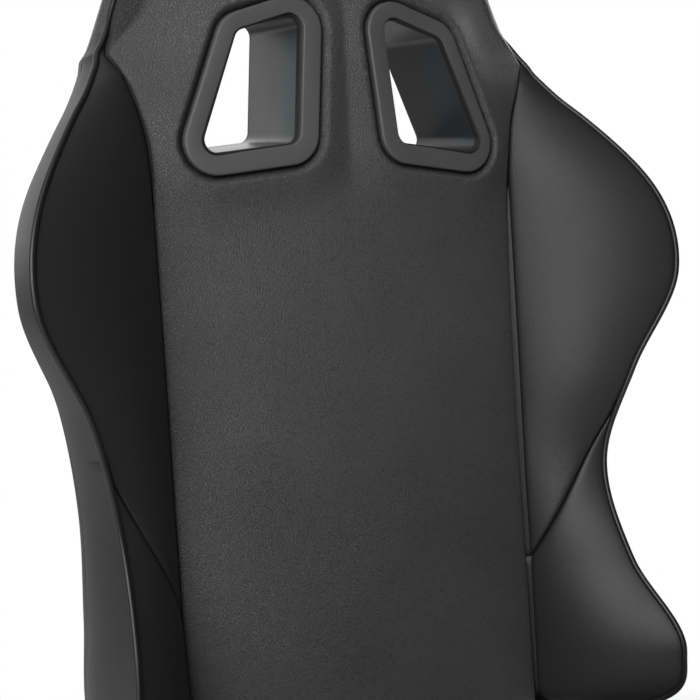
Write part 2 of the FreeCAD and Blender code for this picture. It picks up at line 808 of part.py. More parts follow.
# Seat pan: a pressed tray that lies between the side frames and carries the cushion.
pan = new_body("seat_pan")
pan_middle = "(pan_front + pan_rear) / 2"
pan_length = "(pan_rear - pan_front)"
slab(pan, "pan_tray", "XZ_Plane", [
    (f"-{frame_inner}", "pan_top - pan_flange"),
    (f"-{frame_inner} + pan_sheet", "pan_top - pan_flange"),
    (f"-{frame_inner} + pan_sheet", "pan_top - pan_sheet"),
    (f"{frame_inner} - pan_sheet", "pan_top - pan_sheet"),
    (f"{frame_inner} - pan_sheet", "pan_top - pan_flange"),
    (frame_inner, "pan_top - pan_flange"),
    (frame_inner, "pan_top"),
    (f"-{frame_inner}", "pan_top"),
], f"-({pan_middle})", pan_length)
slab(pan, "front_lip", "XZ_Plane", [
    (f"-{frame_inner}", "pan_top - pan_flange"),
    (frame_inner, "pan_top - pan_flange"),
    (frame_inner, "pan_top"),
    (f"-{frame_inner}", "pan_top"),
], "-(pan_front + pan_sheet / 2)", "pan_sheet")
pan_rings = []
for column in ("-pan_hole_pitch", "0", "pan_hole_pitch"):
    for row in ("-pan_hole_pitch", "0", "pan_hole_pitch"):
        pan_rings.append((column, f"{pan_middle} + {row}", "pan_hole_radius"))
cut_disc(pan, "pan_holes", "XY_Plane", pan_rings, "pan_top", "4 * pan_sheet")

# Recliner: on each side a fixed disc on the side frame, a moving disc on the recliner arm.
fixed_level = f"{frame_inner} - disc_thickness / 2"
moving_level = f"{frame_inner} - disc_gap - disc_thickness * 1.5"
pivot_ring = ("pivot_place", "pivot_up")
rod_bore = "rod_radius + rod_gap"
fixed_disc = new_body("recliner_fixed_disc_right")
disc(fixed_disc, "fixed_disc", "YZ_Plane", [(*pivot_ring, "disc_radius"),
     (*pivot_ring, rod_bore)], fixed_level, "disc_thickness")
mirrored(fixed_disc, "recliner_fixed_disc_left")
moving_disc = new_body("recliner_moving_disc_right")
disc(moving_disc, "moving_disc", "YZ_Plane", [("0", "0", "disc_radius - moving_disc_inset"),
     ("0", "0", rod_bore)], moving_level, "disc_thickness")
lean(moving_disc)
mirrored(moving_disc, "recliner_moving_disc_left")

# Recliner arm: a plate from the moving disc up to the back frame's tube.
arm_outer = f"({frame_inner} - disc_gap - disc_thickness * 2)"
arm_inner = f"({arm_outer} - arm_sheet)"
arm = new_body("recliner_arm_right")
arm_plate = slab(arm, "arm_plate", "YZ_Plane", [
    ("-arm_front", "-arm_foot_corner"),
    ("-arm_foot_half", "-disc_radius"),
    ("arm_foot_half", "-disc_radius"),
    ("arm_rear", "-arm_foot_corner"),
    ("arm_rear", "disc_radius"),
    ("back_tube_set + back_tube_radius", "arm_length"),
    ("back_tube_set - back_tube_radius", "arm_length"),
    ("back_tube_set - back_tube_radius", "foot_up - arm_drop"),
    ("-arm_front", "arm_shoulder"),
], f"{arm_outer} - arm_sheet / 2", "arm_sheet")
dress_edges(arm, arm_plate, "Fillet", "arm_round", lambda edge: along(edge, X_AXIS))
cut_disc(arm, "rod_hole", "YZ_Plane", [("0", "0", rod_bore)], f"{arm_outer} - arm_sheet / 2",
         "3 * arm_sheet")
lean(arm)
mirrored(arm, "recliner_arm_left")

# Recline rod: one rod through both recliners, turned by the lever.
rod = new_body("recline_rod")
frame_outer = f"({frame_inner} + frame_sheet)"
shield_outer = f"({frame_outer} + shield_gap + shield_depth)"
lever_inner = f"({shield_outer} + lever_gap)"
lever_outer = f"({lever_inner} + lever_sheet)"
rod_left = f"({frame_outer} + lever_gap)"
disc(rod, "round_rod", "YZ_Plane", [(*pivot_ring, "rod_radius")],
     f"({lever_outer} - {rod_left}) / 2", f"{lever_outer} + {rod_left}")

# Lever arm on the rod's end, its moulded grip, and the screw that holds it.
lever = new_body("recline_lever")
lever_middle = f"({lever_inner} + lever_sheet / 2)"
lever_pad = slab(lever, "lever_arm", "YZ_Plane", [
    ("lever_hub_radius", "-lever_hub_radius"),
    ("lever_hub_radius", "lever_hub_radius"),
    ("-lever_hub_radius", "lever_hub_radius"),
    ("-lever_length / 2", "lever_arm_half"),
    ("-lever_length", "lever_arm_half"),
    ("-lever_length", "-lever_arm_half"),
    ("-lever_length / 2", "-lever_arm_half"),
    ("-lever_hub_radius", "-lever_hub_radius"),
], lever_middle, "lever_sheet")
dress_edges(lever, lever_pad, "Fillet", "lever_round", lambda edge: along(edge, X_AXIS))
cut_disc(lever, "rod_hole", "YZ_Plane", [("0", "0", "rod_radius")], lever_middle, "3 * lever_sheet")
grip = new_body("lever_grip")
grip_start = "(-lever_length - lever_grip_wall)"
grip_block = slab(grip, "grip_block", "YZ_Plane", [
    (grip_start, "-lever_grip_half"),
    (f"{grip_start} + lever_grip_length", "-lever_grip_half"),
    (f"{grip_start} + lever_grip_length", "lever_grip_half"),
    (grip_start, "lever_grip_half"),
], lever_middle, "lever_sheet + 2 * lever_grip_wall")
grip_round = dress_edges(grip, grip_block, "Fillet", "lever_grip_round",
                         lambda edge: along(edge, X_AXIS))
dress_edges(grip, grip_round, "Chamfer", "lever_grip_bevel", lambda edge: (
    abs(edge.CenterOfMass.x - value(lever_middle)) > value("lever_sheet / 2")
    and edge.BoundBox.XLength < 0.01))
cut_slab(grip, "grip_socket", "YZ_Plane", [
    ("-lever_length - pin_gap", "-lever_arm_half - pin_gap"),
    (f"{grip_start} + lever_grip_length + pin_gap", "-lever_arm_half - pin_gap"),
    (f"{grip_start} + lever_grip_length + pin_gap", "lever_arm_half + pin_gap"),
    ("-lever_length - pin_gap", "lever_arm_half + pin_gap"),
], lever_middle, "lever_sheet + 2 * pin_gap")
for piece in (lever, grip):
    piece.Placement = Placement(Vector(), Rotation(X_AXIS, value("lever_slope")))
    bind(piece, "Placement.Rotation.Angle", "lever_slope")
    bind(piece, "Placement.Base.y", "pivot_place")
    bind(piece, "Placement.Base.z", "pivot_up")
straight_pin("lever_screw", [(lever_outer, *pivot_ring)], "X", [
    ("0", "lever_screw_height", "lever_screw_radius", "Cylinder"),
])

# Side shields: moulded covers over the side frames and recliners, the right one with a hole
# for the rod.
shield_start = value(f"{frame_outer} + shield_gap")
shield_depth, shield_wall = value("shield_depth"), value("shield_wall")
shield_rear = "pivot_place + tower_rear + shield_margin"
shield_peak = "pivot_up + tower_up + shield_margin"
shield_corners = []
for place, up in (
    ("shield_front + shield_toe_run", "shield_bottom"),
    ("pivot_place - shield_heel_run", "shield_bottom"),
    (shield_rear, "pivot_up - tower_up - shield_heel_drop"),
    (shield_rear, shield_peak),
    ("pivot_place - tower_front - shield_margin", shield_peak),
    ("pivot_place - tower_front - shield_step_run", "frame_top - shield_drop"),
    ("shield_front", "frame_top - shield_drop"),
    ("shield_front", "frame_top - shield_nose_drop"),
):
    shield_corners.append(Vector(shield_start, value(place), value(up)))
shield_radii = [value("shield_corner_round")] * 3 + [value("shield_tower_round")] * 2
shield_radii += [value("shield_corner_round")] * 3
shield_form = Part.Face(rounded_outline(shield_corners, shield_radii))
shield_form = shield_form.extrude(X_AXIS * shield_depth)
outer_edges = [edge for edge in shield_form.Edges
               if edge.BoundBox.XMin > shield_start + shield_depth - shield_wall]
shield_form = shield_form.makeFillet(value("shield_edge_round"), outer_edges)
hollow_corners = grown(shield_corners, -shield_wall, X_AXIS)
hollow = Part.Face(rounded_outline(hollow_corners, [radius - shield_wall for radius in shield_radii]))
shield_form = shield_form.cut(hollow.extrude(X_AXIS * (shield_depth - shield_wall)))
rod_tool = Part.makeCylinder(value("shield_hole_radius"), 2 * shield_depth,
                             Vector(shield_start, value("pivot_place"), value("pivot_up")), X_AXIS)
plain_solid("side_shield_right", shield_form.cut(rod_tool))
plain_solid("side_shield_left", shield_form.mirror(Vector(), X_AXIS))

# Back frame: a hoop of bent tube, narrower at the head.
hoop_side = f"({arm_inner} - back_tube_radius)"
hoop_half = [Vector(value(across), value("back_tube_set"), value(up)) for across, up in (
    (hoop_side, "hoop_foot"), (hoop_side, "hoop_shoulder"), ("hoop_head_half", "hoop_neck"),
    ("hoop_head_half", "hoop_top"))]
hoop_other = [Vector(-point.x, point.y, point.z) for point in reversed(hoop_half)]
lean(bent_tube("back_frame", hoop_half + hoop_other, value("hoop_bend"),
               value("back_tube_radius"), value("back_tube_wall")))
for label, level in (("harness_bar", "harness_bar_up"), ("back_lower_bar", "lower_bar_up")):
    bar = new_body(label)
    rings = [("back_tube_set", level, "harness_bar_radius"),
             ("back_tube_set", level, "harness_bar_radius - back_tube_wall")]
    disc(bar, "round_bar", "YZ_Plane", rings, "0", f"2 * ({hoop_side} - back_tube_radius)")
    lean(bar)


# Back straps: flat elastic bands looped round both uprights of the hoop.
def strap_loop(reach, level):
    """A loop round both uprights: straight in front and behind, half round at each end."""
    side, middle = value(hoop_side), value("back_tube_set")
    corners = [Vector(side, middle + reach, level), Vector(-side, middle + reach, level),
               Vector(-side, middle - reach, level), Vector(side, middle - reach, level)]
    return Part.Wire([
        line(corners[0], corners[1]),
        arc(corners[1], Vector(-side - reach, middle, level), corners[2]),
        line(corners[2], corners[3]),
        arc(corners[3], Vector(side + reach, middle, level), corners[0])])


straps = []
strap_inner = value("back_tube_radius + strap_gap")
for number in range(round(value("strap_count"))):
    level = value(f"strap_start + {number} * strap_pitch - strap_width / 2")
    loops = [strap_loop(strap_inner + value("strap_thickness"), level),
             strap_loop(strap_inner, level)]
    straps.append(holed_face(loops).extrude(Z_AXIS * value("strap_width")))
lean(plain_solid("back_straps", Part.makeCompound(straps)))

# The padded back is lofted from many sections. Each comes from the tables of stations, with
# smooth rows between them, so that every piece of the back meets its neighbours on one line.
neck_rise = value("neck_up - flare_start")
flare_radius = (neck_rise ** 2 + value("neck_flare") ** 2) / value("2 * neck_flare")
face, crown = value("face_set"), value("centre_crown")


def table_rows(table, words):
    """The rows of a table of stations, as numbers from the sheet."""
    return [[value(f"{station}_{word}") for word in words] for station in table]


def row_at(rows, place):
    """A row between stations: cubic pieces whose slopes are the mean slopes on both sides."""
    slopes = []
    for number in range(len(rows)):
        before, after = rows[max(number - 1, 0)], rows[min(number + 1, len(rows) - 1)]
        slopes.append([(b - a) / (after[0] - before[0]) for a, b in zip(before, after)])
    number = max(i for i in range(len(rows) - 1) if rows[i][0] <= place + 1e-9)
    run = rows[number + 1][0] - rows[number][0]
    share = (place - rows[number][0]) / run
    rest = 1 - share
    row = []
    for a, b, slope, next_slope in zip(rows[number], rows[number + 1], slopes[number],
                                       slopes[number + 1]):
        row.append(a * rest ** 2 * (1 + 2 * share) + b * share ** 2 * (1 + 2 * rest)
                   + (slope * rest - next_slope * share) * share * rest * run)
    return row


def levels_between(marks):
    """Levels from the first mark to the last, through each, no more than a step apart."""
    levels = [marks[0]]
    for low, high in zip(marks, marks[1:]):
        count = math.ceil((high - low) / value("section_step") - 1e-9)
        levels += [low + (high - low) * (part + 1) / count for part in range(count)]
    return levels


def seam_half(up):
    """Half width of the centre panel: steady, then flaring to the neck on an arc."""
    climb = max(0, min(up, value("neck_up")) - value("flare_start"))
    return value("back_centre_half") + flare_radius - math.sqrt(flare_radius ** 2 - climb ** 2)


def bulge(first, last, share, outward):
    """An arc between two points that stands off its chord by a share of the chord."""
    chord = last - first
    normal = Vector(-chord.y, chord.x, 0).normalize()
    normal = normal * (1 if normal.dot(outward) > 0 else -1)
    return arc(first, (first + last) * 0.5 + normal * (chord.Length * share), last)


def centre_section(up, half, fall, middle):
    """Centre pad at one height: a crowned front, straight sides and a flat rear."""
    left, right = Vector(-half, -face + fall, up), Vector(half, -face + fall, up)
    rear_left, rear_right = Vector(-half, 0, up), Vector(half, 0, up)
    return Part.Wire([
        arc(left, Vector(0, -face - middle, up), right),
        line(right, rear_right), line(rear_right, rear_left), line(rear_left, left)])


def wing_section(up, width, ahead, rear):
    """Right wing at one height: front bulge, rounded gusset, flat rear, side at the seam."""
    half = seam_half(up)
    seam = Vector(half, -face - min(0, ahead), up)
    edge = Vector(half + width, -face - ahead, up)
    back, root = Vector(half + rear, 0, up), Vector(half, 0, up)
    return Part.Wire([
        bulge(seam, edge, value("wing_crown"), Vector(0, -1, 0)),
        bulge(edge, back, value("gusset_crown"), X_AXIS),
        line(back, root), line(root, seam)])


def cover_section(up, half, inset):
    """Rear cover at one height: the outside has round corners, the inside cut ones."""
    depth = value("cover_depth") - inset
    front = value("cover_set") if inset == 0 else -value("tool_room")
    near = Vector(half - inset, front, up)
    turn = Vector(half - inset - value("cover_corner_run"), value("cover_corner_depth"), up)
    far = Vector(half - inset - value("cover_corner"), depth, up)
    other = [Vector(-point.x, point.y, up) for point in (near, turn, far)]
    if inset == 0:
        sides = [arc(near, turn, far), line(far, other[2]), arc(*reversed(other))]
    else:
        inner = Vector(near.x, value("cover_set"), up)
        other_inner = Vector(-inner.x, inner.y, up)
        sides = [line(near, inner), line(inner, turn), line(turn, far), line(far, other[2]),
                 line(other[2], other[1]), line(other[1], other_inner), line(other_inner, other[0])]
    return Part.Wire(sides + [line(other[0], near)])


wing_rows = table_rows(WING_STATIONS, ("up", "width", "ahead", "rear"))
neck_row = [value("neck_up"), seam_half(value("neck_up")), value("neck_fall"), value("neck_crown")]
head_rows = [neck_row] + table_rows(HEAD_STATIONS, ("up", "half", "fall", "crown"))
wing_marks = sorted([row[0] for row in wing_rows] + [value("flare_start")])
wing_levels = levels_between(wing_marks)
head_levels = levels_between([row[0] for row in head_rows])

# Outline of each harness slot and of the pieces round it, as a loop grown from the opening.
# The tunnels run level when the back is at its rest angle.
bezel_front = -value("bezel_face")
bezel_back = bezel_front + value("bezel_thickness")
bezel_middle = Vector(value("(slot_low_inner + slot_low_outer) / 2"), bezel_front, 0)
level_way = Y_AXIS + Z_AXIS * math.tan(math.radians(value("recline_angle")))
slot_low = "slot_low_up - slot_low_fall"
slot_corners = [Vector(value(across), 0, value(up)) for across, up in (
    ("slot_low_inner", "slot_low_up"), ("slot_low_outer", slot_low),
    ("slot_top_outer", "slot_top_up - slot_top_fall"), ("slot_top_inner", "slot_top_up"))]


def slot_prism(grow, start, stop):
    """A prism of the slot's rounded outline, grown, along the level way between two depths."""
    outline = rounded_outline(grown(slot_corners, grow, -Y_AXIS), [value("slot_round") + grow] * 4)
    prism = Part.Face(outline).extrude(level_way * (stop - start))
    prism.translate(Y_AXIS * bezel_front + level_way * (start - bezel_front))
    return prism


def at_bezel(shape):
    """Turns a prism to the front bezel's angle."""
    shape.rotate(bezel_middle, Z_AXIS, value("bezel_turn"))
    return shape


def both_sides(shapes):
    """Shapes and their mirror images."""
    return shapes + [shape.mirror(Vector(), X_AXIS) for shape in shapes]


bezel_rim, sleeve_wall = value("bezel_rim"), value("sleeve_wall")
cover_rear, room, tool_room = value("cover_depth"), value("sleeve_gap"), value("tool_room")
slot_tool = slot_prism(0, bezel_front - tool_room, cover_rear + tool_room)

# Centre pad: one moulded foam with the head part, tunnels for the slots, and a shallow seat
# for each bezel.
pad_sections = [centre_section(value("pad_bottom"), seam_half(0), 0, crown)]
for up in wing_levels:
    if up >= value("flare_start"):
        share = (up - value("flare_start")) / neck_rise
        pad_sections.append(centre_section(up, seam_half(up), value("neck_fall") * share ** 3, crown))
for up in head_levels:
    pad_sections.append(centre_section(*row_at(head_rows, up)))
centre_pad = Part.makeLoft(pad_sections, True, True)
centre_pad = centre_pad.cut(both_sides([
    slot_prism(sleeve_wall + room, bezel_front - tool_room, cover_rear + tool_room),
    at_bezel(slot_prism(bezel_rim + room, bezel_front - tool_room, bezel_back + room))]))
lean(plain_solid("back_centre_pad", centre_pad.Solids[0]))

# Wings: one form each side, parted along the diagonal seam into shoulder and lumbar wing.
wing_form = Part.makeLoft([wing_section(*row_at(wing_rows, up)) for up in wing_levels], True, True)
span = value("2 * hoop_top")
below = Part.makeBox(span, span, span, Vector(-span / 2, -span / 2, -span))
seam_angle = math.degrees(math.atan2(value("seam_rise"), value("seam_run")))
below.rotate(Vector(), -Y_AXIS, seam_angle)
below.translate(Vector(value("back_centre_half"), 0, value("seam_low_up")))
for label, shape in (("shoulder_wing", wing_form.cut(below)), ("lumbar_wing", wing_form.common(below))):
    wing = lean(plain_solid(f"{label}_right", max(shape.Solids, key=lambda solid: solid.Volume)))
    mirrored(wing, f"{label}_left")

# Rear cover: a shell behind the pads, open to the front, with the two slots.
cover_forms = []
for inset in (0, value("cover_wall")):
    rings = []
    for up in wing_levels:
        low_end = inset if up == wing_levels[0] else 0
        rings.append(cover_section(up + low_end, seam_half(up) + row_at(wing_rows, up)[3], inset))
    for up in head_levels:
        high_end = inset if up == head_levels[-1] else 0
        rings.append(cover_section(up - high_end, row_at(head_rows, up)[1], inset))
    cover_forms.append(Part.makeLoft(rings, True, True))
rear_tool = slot_prism(sleeve_wall + room, 0, cover_rear + tool_room)
notch = Part.makeBox(value("2 * cover_notch_half"), value("back_tube_set + 2 * back_tube_radius"),
                     value("cover_notch_rise"), Vector(value(f"{hoop_side} - cover_notch_half"), 0,
                                                       value("foot_up - cover_notch_rise / 2")))
cover = cover_forms[0].cut([cover_forms[1]] + both_sides([rear_tool, notch]))
lean(plain_solid("back_rear_cover", max(cover.Solids, key=lambda solid: solid.Volume)))

# Lower panel: closes the back of the centre pad below the rear cover.
lower_panel = new_body("back_lower_panel")
slab(lower_panel, "closing_panel", "XZ_Plane", [
    ("-back_centre_half + panel_margin", "pad_bottom + panel_gap"),
    ("back_centre_half - panel_margin", "pad_bottom + panel_gap"),
    ("back_centre_half - panel_margin", "foot_up - panel_gap"),
    ("-back_centre_half + panel_margin", "foot_up - panel_gap"),
], "-(side_gap + panel_sheet / 2)", "panel_sheet")
lean(lower_panel)

# Slot sleeves: thin tunnel walls from the front bezels to the rear ones.
sleeve = slot_prism(sleeve_wall, bezel_front - tool_room, cover_rear)
sleeve = sleeve.cut([slot_tool, at_bezel(slot_prism(tool_room, bezel_front - 2 * tool_room, bezel_back))])
mirrored(lean(plain_solid("slot_sleeve_right", sleeve.Solids[0])), "slot_sleeve_left")

# Bezels: moulded rings that frame the slots, turned to the crown in front, flat behind.
front_bezel = at_bezel(slot_prism(bezel_rim, bezel_front, bezel_back)).cut(slot_tool)
mirrored(lean(plain_solid("slot_bezel_front_right", front_bezel.Solids[0])), "slot_bezel_front_left")
rear_bezel = slot_prism(value("rear_bezel_rim"), cover_rear, cover_rear + value("rear_bezel_thickness"))
rear_bezel = rear_bezel.cut(slot_tool)
mirrored(lean(plain_solid("slot_bezel_rear_right", rear_bezel.Solids[0])), "slot_bezel_rear_left")


# Seat cushion and thigh bolsters: padded forms on the pan, higher at the front.
def cushion_section(place, top, crest, outer):
    """Cushion centre at one place: flat base, drawn-in sides, crowned top."""
    half, base_level = value("cushion_half"), value("pan_top")
    draw, rise = value("cushion_draw"), value("cushion_crown")
    corners = [Vector(half - draw, place, base_level), Vector(half, place, base_level + top - rise)]
    left = [Vector(-point.x, point.y, point.z) for point in corners]
    return Part.Wire([
        line(corners[0], corners[1]),
        arc(corners[1], Vector(0, place, base_level + top), left[1]),
        line(left[1], left[0]), line(left[0], corners[0])])


def bolster_section(place, top, crest, outer):
    """Right thigh bolster at one place: inner side, rounded crest, outer side, flat base."""
    inner, base_level = value("cushion_half + cushion_gap"), value("pan_top")
    draw, rise = value("cushion_draw"), value("cushion_crown")
    lower, upper = Vector(inner, place, base_level), Vector(inner, place, base_level + top - rise)
    side = Vector(outer, place, base_level + crest * value("bolster_side_share"))
    tip = Vector(inner + (outer - inner) * value("bolster_crest_share"), place, base_level + crest)
    foot_point = Vector(outer - 2 * draw, place, base_level)
    return Part.Wire([line(lower, upper), arc(upper, tip, side), line(side, foot_point),
                      line(foot_point, lower)])


cushion_rows = table_rows(CUSHION_STATIONS, ("place", "top", "crest", "outer"))
cushion_places = levels_between([row[0] for row in cushion_rows])
for label, section in (("seat_cushion", cushion_section), ("thigh_bolster_right", bolster_section)):
    form = Part.makeLoft([section(*row_at(cushion_rows, place)) for place in cushion_places], True, True)
    padded = plain_solid(label, form)
mirrored(padded, "thigh_bolster_left")

doc.recompute()
os.makedirs("parts", exist_ok=True)
faults = []
for thing in doc.Objects:
    if "Invalid" in thing.State or "Error" in thing.State:
        faults.append(f"{thing.Name}: {thing.State}")
for part in parts:
    if part.Shape.isNull() or not part.Shape.isValid():
        faults.append(f"{part.Label}: shape")
if faults:
    raise SystemExit("\n".join(faults))
for part in parts:
    part.Shape.exportStep(f"parts/{part.Label}.step")
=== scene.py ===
# Reclining racing-style bucket seat with harness slots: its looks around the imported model.
# X runs across the seat, Y to the rear and Z up, in metres. The back is worked out in its own
# upright drawing, in millimetres from the recline axis, and then leaned to its rest angle.

import json
import math

import bmesh
import bpy
import numpy as np
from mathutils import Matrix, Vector


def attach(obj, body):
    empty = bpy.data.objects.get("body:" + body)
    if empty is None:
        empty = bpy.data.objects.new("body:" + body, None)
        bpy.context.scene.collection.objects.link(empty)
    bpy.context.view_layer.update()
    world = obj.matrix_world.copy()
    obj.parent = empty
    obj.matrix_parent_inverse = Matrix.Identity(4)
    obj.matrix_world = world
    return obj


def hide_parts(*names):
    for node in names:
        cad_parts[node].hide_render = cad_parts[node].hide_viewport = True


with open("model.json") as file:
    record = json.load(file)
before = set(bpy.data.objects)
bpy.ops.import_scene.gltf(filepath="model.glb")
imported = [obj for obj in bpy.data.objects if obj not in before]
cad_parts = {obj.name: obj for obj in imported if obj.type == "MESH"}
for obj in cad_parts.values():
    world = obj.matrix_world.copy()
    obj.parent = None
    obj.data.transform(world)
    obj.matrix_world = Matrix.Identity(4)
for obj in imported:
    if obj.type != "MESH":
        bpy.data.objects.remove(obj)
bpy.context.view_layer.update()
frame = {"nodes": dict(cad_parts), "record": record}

# Camera. The photograph was taken from the viewer's left, a little above the slots, with a lens
# of about 63 mm on a 36 mm frame.
CAMERA_PLACE = Vector((-0.4594, -0.6691, 0.7595))
CAMERA_YAW = math.radians(27.0)
CAMERA_PITCH = math.radians(9.91)
look = Vector((math.sin(CAMERA_YAW) * math.cos(CAMERA_PITCH),
               math.cos(CAMERA_YAW) * math.cos(CAMERA_PITCH), -math.sin(CAMERA_PITCH)))
camera = bpy.data.objects.new("camera", bpy.data.cameras.new("camera"))
camera.data.lens = 63.2
camera.data.sensor_width = 36.0
camera.location = CAMERA_PLACE
camera.rotation_euler = look.to_track_quat("-Z", "Y").to_euler()
bpy.context.scene.collection.objects.link(camera)
bpy.context.scene.camera = camera
bpy.context.scene.view_settings.view_transform = "Standard"

# Floor and light. A plain pale studio: a white floor that keeps the seat's shadow and fades into a
# white surround, which glossy faces see behind the seat only, like a paper backdrop. Large soft
# lamps stand at the front left and the right rear, with weaker ones above and behind.
PAPER_FROM, PAPER_TO = 0.15, 0.6    # how far to the rear a glossy ray points as the paper shows
FILL_LEVEL = 0.09
FLOOR_HALF = 9.0
FADE_FROM, FADE_TO = 0.45, 0.95
WHITE = (1.0, 1.0, 1.0, 1.0)


def linear(hex_colour):
    """An sRGB hex colour as linear red, green, blue and alpha."""
    shares = np.array([int(hex_colour[i:i + 2], 16) for i in (1, 3, 5)]) / 255.0
    turned = np.where(shares <= 0.04045, shares / 12.92, ((shares + 0.055) / 1.055) ** 2.4)
    return (*turned.tolist(), 1.0)


def add(tree, kind, settings=None, links=None):
    """Adds one shader node: settings are its properties and input values, links the outputs
    into it."""
    new = tree.nodes.new("ShaderNode" + kind)
    for name, setting in (settings or {}).items():
        if isinstance(name, str) and hasattr(new, name):
            setattr(new, name, setting)
        else:
            new.inputs[name].default_value = setting
    for name, source in (links or {}).items():
        tree.links.new(source, new.inputs[name])
    return new


def blank(name):
    """A new material and its empty node tree."""
    made = bpy.data.materials.new(name)
    made.use_nodes = True
    made.node_tree.nodes.clear()
    return made, made.node_tree


def finished(made, settings, links):
    """Ends a material with its shader, and gives the material back."""
    skin = add(made.node_tree, "BsdfPrincipled", settings, links)
    add(made.node_tree, "OutputMaterial", None, {"Surface": skin.outputs[0]})
    return made


world = bpy.data.worlds.new("studio")
bpy.context.scene.world = world
world.use_nodes = True
tree = world.node_tree
tree.nodes.clear()
rays = add(tree, "LightPath")
seen = add(tree, "Math", {"operation": "ADD", "use_clamp": True},
           {0: rays.outputs["Is Camera Ray"], 1: rays.outputs["Is Transmission Ray"]})
ray = add(tree, "TexCoord")
parts = add(tree, "SeparateXYZ", None, {0: ray.outputs["Generated"]})
paper = add(tree, "MapRange",
            {"From Min": PAPER_FROM, "From Max": PAPER_TO, "interpolation_type": "SMOOTHSTEP"},
            {"Value": parts.outputs["Y"]})
shine = add(tree, "Math", {"operation": "MULTIPLY"},
            {0: rays.outputs["Is Glossy Ray"], 1: paper.outputs[0]})
mirrored = add(tree, "Math", {"operation": "ADD", "use_clamp": True},
               {0: seen.outputs[0], 1: shine.outputs[0]})
strength = add(tree, "MapRange", {"To Min": FILL_LEVEL, "To Max": 1.0},
               {"Value": mirrored.outputs[0]})
background = add(tree, "Background", {"Color": WHITE}, {"Strength": strength.outputs[0]})
add(tree, "OutputWorld", None, {"Surface": background.outputs[0]})

floor_mesh = bpy.data.meshes.new("floor")
floor_mesh.from_pydata([(-FLOOR_HALF, -FLOOR_HALF, 0), (FLOOR_HALF, -FLOOR_HALF, 0),
                        (FLOOR_HALF, FLOOR_HALF, 0), (-FLOOR_HALF, FLOOR_HALF, 0)],
                       [], [(0, 1, 2, 3)])
floor = bpy.data.objects.new("floor", floor_mesh)
bpy.context.scene.collection.objects.link(floor)
# Matt white paint, which shows to the camera as pure white from the fade outwards.
floor_paint, tree = blank("white_studio_floor")
place = add(tree, "TexCoord").outputs["Object"]
reach = add(tree, "VectorMath", {"operation": "LENGTH"}, {0: place})
fade = add(tree, "MapRange",
           {"From Min": FADE_FROM, "From Max": FADE_TO, "interpolation_type": "SMOOTHSTEP"},
           {"Value": reach.outputs["Value"]})
rays = add(tree, "LightPath")
shown = add(tree, "Math", {"operation": "MULTIPLY"},
            {0: fade.outputs[0], 1: rays.outputs["Is Camera Ray"]})
matt = add(tree, "BsdfDiffuse", {"Color": linear("#f2f2f2")})
glow = add(tree, "Emission", {"Color": WHITE, "Strength": 1.0})
both = add(tree, "MixShader", None,
           {0: shown.outputs[0], 1: matt.outputs[0], 2: glow.outputs[0]})
add(tree, "OutputMaterial", None, {"Surface": both.outputs[0]})
floor_mesh.materials.append(floor_paint)

for name, spot, aim, size, power in (
    ("soft_lamp_left", (-1.25, -0.95, 1.3), (0.0, 0.15, 0.65), 1.3, 36.0),
    ("soft_lamp_above", (-0.5, -0.6, 2.9), (0.0, 0.1, 0.5), 1.6, 14.0),
    ("soft_lamp_right", (2.2, 1.5, 1.3), (0.0, 0.15, 0.6), 1.4, 26.0),
    ("soft_lamp_behind", (0.6, 2.6, 1.9), (0.0, 0.2, 0.6), 1.6, 9.0),
):
    lamp = bpy.data.lights.new(name, "AREA")
    lamp.shape = "SQUARE"
    lamp.size = size
    lamp.energy = power
    holder = bpy.data.objects.new(name, lamp)
    holder.visible_camera = False
    holder.location = spot
    holder.rotation_euler = (Vector(aim) - Vector(spot)).to_track_quat("-Z", "Y").to_euler()
    bpy.context.scene.collection.objects.link(holder)

# Centre cover. The middle of the back and its head part: one piece of foam under fine-grained
# synthetic leather, sewn to the wings along the centre seams and drawn down round the two slot
# bezels. Its head part rolls over at the edge to a piped seam.
REST_LEAN = math.radians(8.0)
RECLINE_Y, RECLINE_Z = 205.0, 190.0
SHARP_FOLD = math.radians(50.0)


def leaned(across, rearward, up):
    """Points of the upright back drawing, in mm, turned about the recline axis, in metres."""
    return np.stack([across, RECLINE_Y + rearward * math.cos(REST_LEAN) + up * math.sin(REST_LEAN),
                     RECLINE_Z - rearward * math.sin(REST_LEAN) + up * math.cos(REST_LEAN)],
                    axis=-1) / 1000.0


def smooth_line(at, places, values):
    """A smooth line through given values: cubic pieces whose slopes are the mean slopes."""
    places, values = np.asarray(places, float), np.asarray(values, float)
    slopes = np.gradient(values, places)
    part = np.clip(np.searchsorted(places, at, side="right") - 1, 0, len(places) - 2)
    run = places[part + 1] - places[part]
    share = np.clip((at - places[part]) / run, 0.0, 1.0)
    rest = 1.0 - share
    return (values[part] * rest ** 2 * (1 + 2 * share)
            + values[part + 1] * share ** 2 * (1 + 2 * rest)
            + (slopes[part] * rest - slopes[part + 1] * share) * share * rest * run)


def ramp(at, low, high):
    """Nothing below low, one above high, and smooth between them."""
    share = np.clip((at - low) / (high - low), 0.0, 1.0)
    return share * share * (3 - 2 * share)


